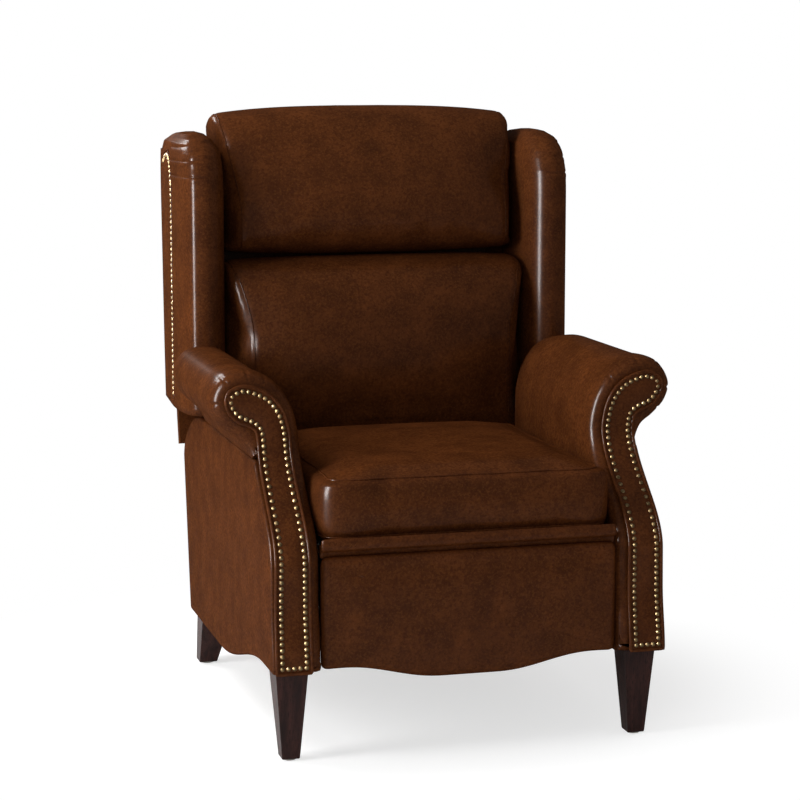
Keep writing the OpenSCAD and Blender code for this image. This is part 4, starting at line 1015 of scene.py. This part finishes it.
# %% Lumbar and head cushions
lumbar_shares = np.array([
    [0, 0.04], [0.04, 0], [0.3, 0], [0.77, 0], [0.87, 0.07], [0.90, 0.17], [0.96, 0.31], [1, 0.45],
    [0.99, 0.63], [0.95, 0.77], [0.87, 0.88], [0.72, 0.955], [0.46, 0.99], [0.2, 0.994], [0.03, 0.98],
    [0, 0.95]])
head_shares = np.array([
    [0, 0.04], [0.04, 0.006], [0.3, 0.004], [0.76, 0.004], [0.94, 0.05], [1, 0.16], [0.98, 0.32], [0.88, 0.5],
    [0.76, 0.68], [0.61, 0.84], [0.44, 0.945], [0.2, 0.995], [0, 1]])
over_shares = np.array([[0.35, 0.94], [0.75, 0.66], [0.95, 0.3], [1, 0]])
SPLIT_LOW, SPLIT_TOP = up_back(0.803) - 0.0004, up_back(0.803) + 0.0004
TOP, STEP, FOOT = up_back(1.094) - 0.014, 0.6204, 0.038
LUMBAR_THICK, HEAD_THICK, OVER = 0.182, 0.135, 0.066
lumbar = flowing(np.array([FACE, FOOT]) + lumbar_shares * [-LUMBAR_THICK, SPLIT_LOW - FOOT], 6)
make_pillow("lumbar_cushion_cover", "lumbar_cushion", lumbar, FOOT, SPLIT_LOW, LUMBAR_THICK,
            {"narrow": 0.2615, "wide": 0.2930, "start": 0.122, "slant": 0.014, "foot": 0.013},
            0.022, 0, slice(16, 76))
head = np.vstack([np.array([FACE, SPLIT_TOP]) + head_shares * [-HEAD_THICK, TOP - SPLIT_TOP],
                  np.array([FACE, STEP]) + over_shares * [OVER, TOP - STEP]])
head = np.vstack([flowing(head, 6), [[FACE, STEP]]])
make_pillow("head_cushion_cover", "head_cushion", head, SPLIT_TOP, TOP, HEAD_THICK,
            {"narrow": 0.2720, "wide": 0.2905, "start": 0.190, "ear": 0.006},
            0.022, 0.014, slice(16, 90))

# %% [markdown]
# ## Studio
# A pale floor runs to a white surround. The camera sees the surround as plain white. The floor's own
# share of white grows with the distance from the chair, so the shadow lies on pale ground and fades
# out. Gloss sees only a part of the surround, which keeps a grey veil off the leather. Soft light
# comes from four lamps that gloss doesn't see, and the highlights from two lamps that only gloss sees.

# %% Floor, surround and lamps
def joined(tree, share, first, second, out):
    """Mixes two shaders by a share and puts them out."""
    both = add(tree, "ShaderNodeMixShader", [("Fac", share)])
    tree.links.new(first.outputs[0], both.inputs[1])
    tree.links.new(second.outputs[0], both.inputs[2])
    tree.links.new(both.outputs[0], out.inputs["Surface"])


def studio():
    """A floor whose share of white grows from 0.40 m to 1.0 m from the middle, and a white surround."""
    mesh = bpy.data.meshes.new("floor")
    mesh.from_pydata([(-6, -6, 0), (6, -6, 0), (6, 6, 0), (-6, 6, 0)], [], [(0, 1, 2, 3)])
    floor = placed("floor", mesh)
    m = bpy.data.materials.new("floor")
    m.use_nodes = True
    t = m.node_tree
    p = t.nodes["Principled BSDF"]
    for key, value in (("Base Color", (0.93, 0.93, 0.93, 1)), ("Roughness", 0.9), ("Specular IOR Level", 0.0)):
        p.inputs[key].default_value = value
    seen = t.nodes.new("ShaderNodeLightPath").outputs["Is Camera Ray"]
    at = add(t, "ShaderNodeTexCoord").outputs["Object"]
    far = add(t, "ShaderNodeVectorMath", [(0, at)], operation="LENGTH").outputs["Value"]
    fade, strength = (add(t, "ShaderNodeMapRange", [
        ("Value", far), ("From Min", 0.40), ("From Max", 1.0), ("To Min", near), ("To Max", 1.0)],
        interpolation_type="SMOOTHSTEP").outputs["Result"] for near in (0.44, 1.45))
    glow = add(t, "ShaderNodeEmission", [("Color", (1, 1, 1, 1)), ("Strength", strength)])
    joined(t, reckon(t, "MULTIPLY", seen, fade), p, glow, t.nodes["Material Output"])
    mesh.materials.append(m)
    w = bpy.data.worlds.new("surround")
    bpy.context.scene.world = w
    w.use_nodes = True
    t = w.node_tree
    t.nodes.clear()
    out = t.nodes.new("ShaderNodeOutputWorld")
    path = t.nodes.new("ShaderNodeLightPath")
    direct = reckon(t, "MAXIMUM", path.outputs["Is Camera Ray"], path.outputs["Is Transmission Ray"])
    seen = reckon(t, "MAXIMUM", direct, reckon(t, "MULTIPLY", path.outputs["Is Glossy Ray"], 0.15))
    dim, white = (add(t, "ShaderNodeBackground", [("Color", (1, 1, 1, 1)), ("Strength", k)])
                  for k in (0.30, 1.0))
    joined(t, seen, dim, white, out)


def lamp(name, place, target, size, power, plain=True, shiny=True):
    """A rectangular lamp aimed at target. Diffuse light needs it plain, and highlights need it shiny."""
    data = bpy.data.lights.new(name, "AREA")
    data.shape, data.size, data.size_y, data.energy = "RECTANGLE", size[0], size[1], power
    o = placed(name, data)
    o.location = place
    o.rotation_euler = (Vector(target) - Vector(place)).to_track_quat("-Z", "Y").to_euler()
    o.visible_diffuse, o.visible_glossy = plain, shiny


studio()
lamp("key", (-3.0, -0.75, 1.65), (0, 0, 0.62), (1.1, 1.7), 76, shiny=False)
lamp("key_gloss", (-3.0, -0.80, 1.25), (0, 0, 0.62), (0.8, 2.1), 680, plain=False)
lamp("over", (-1.70, 0.60, 2.7), (-0.2, 0, 0.6), (1.0, 1.0), 40, shiny=False)
lamp("rear_gloss", (-1.35, 2.45, 1.95), (-0.3, 0, 0.6), (0.9, 0.7), 190, plain=False)
lamp("front", (-1.3, -3.6, 1.9), (0, 0, 0.6), (2.0, 2.0), 13, shiny=False)
lamp("right", (3.0, 0.6, 1.8), (0, 0, 0.6), (1.2, 1.6), 8, shiny=False)
bpy.context.scene.view_settings.view_transform = "Standard"
print(len(bpy.data.lights), "lamps")
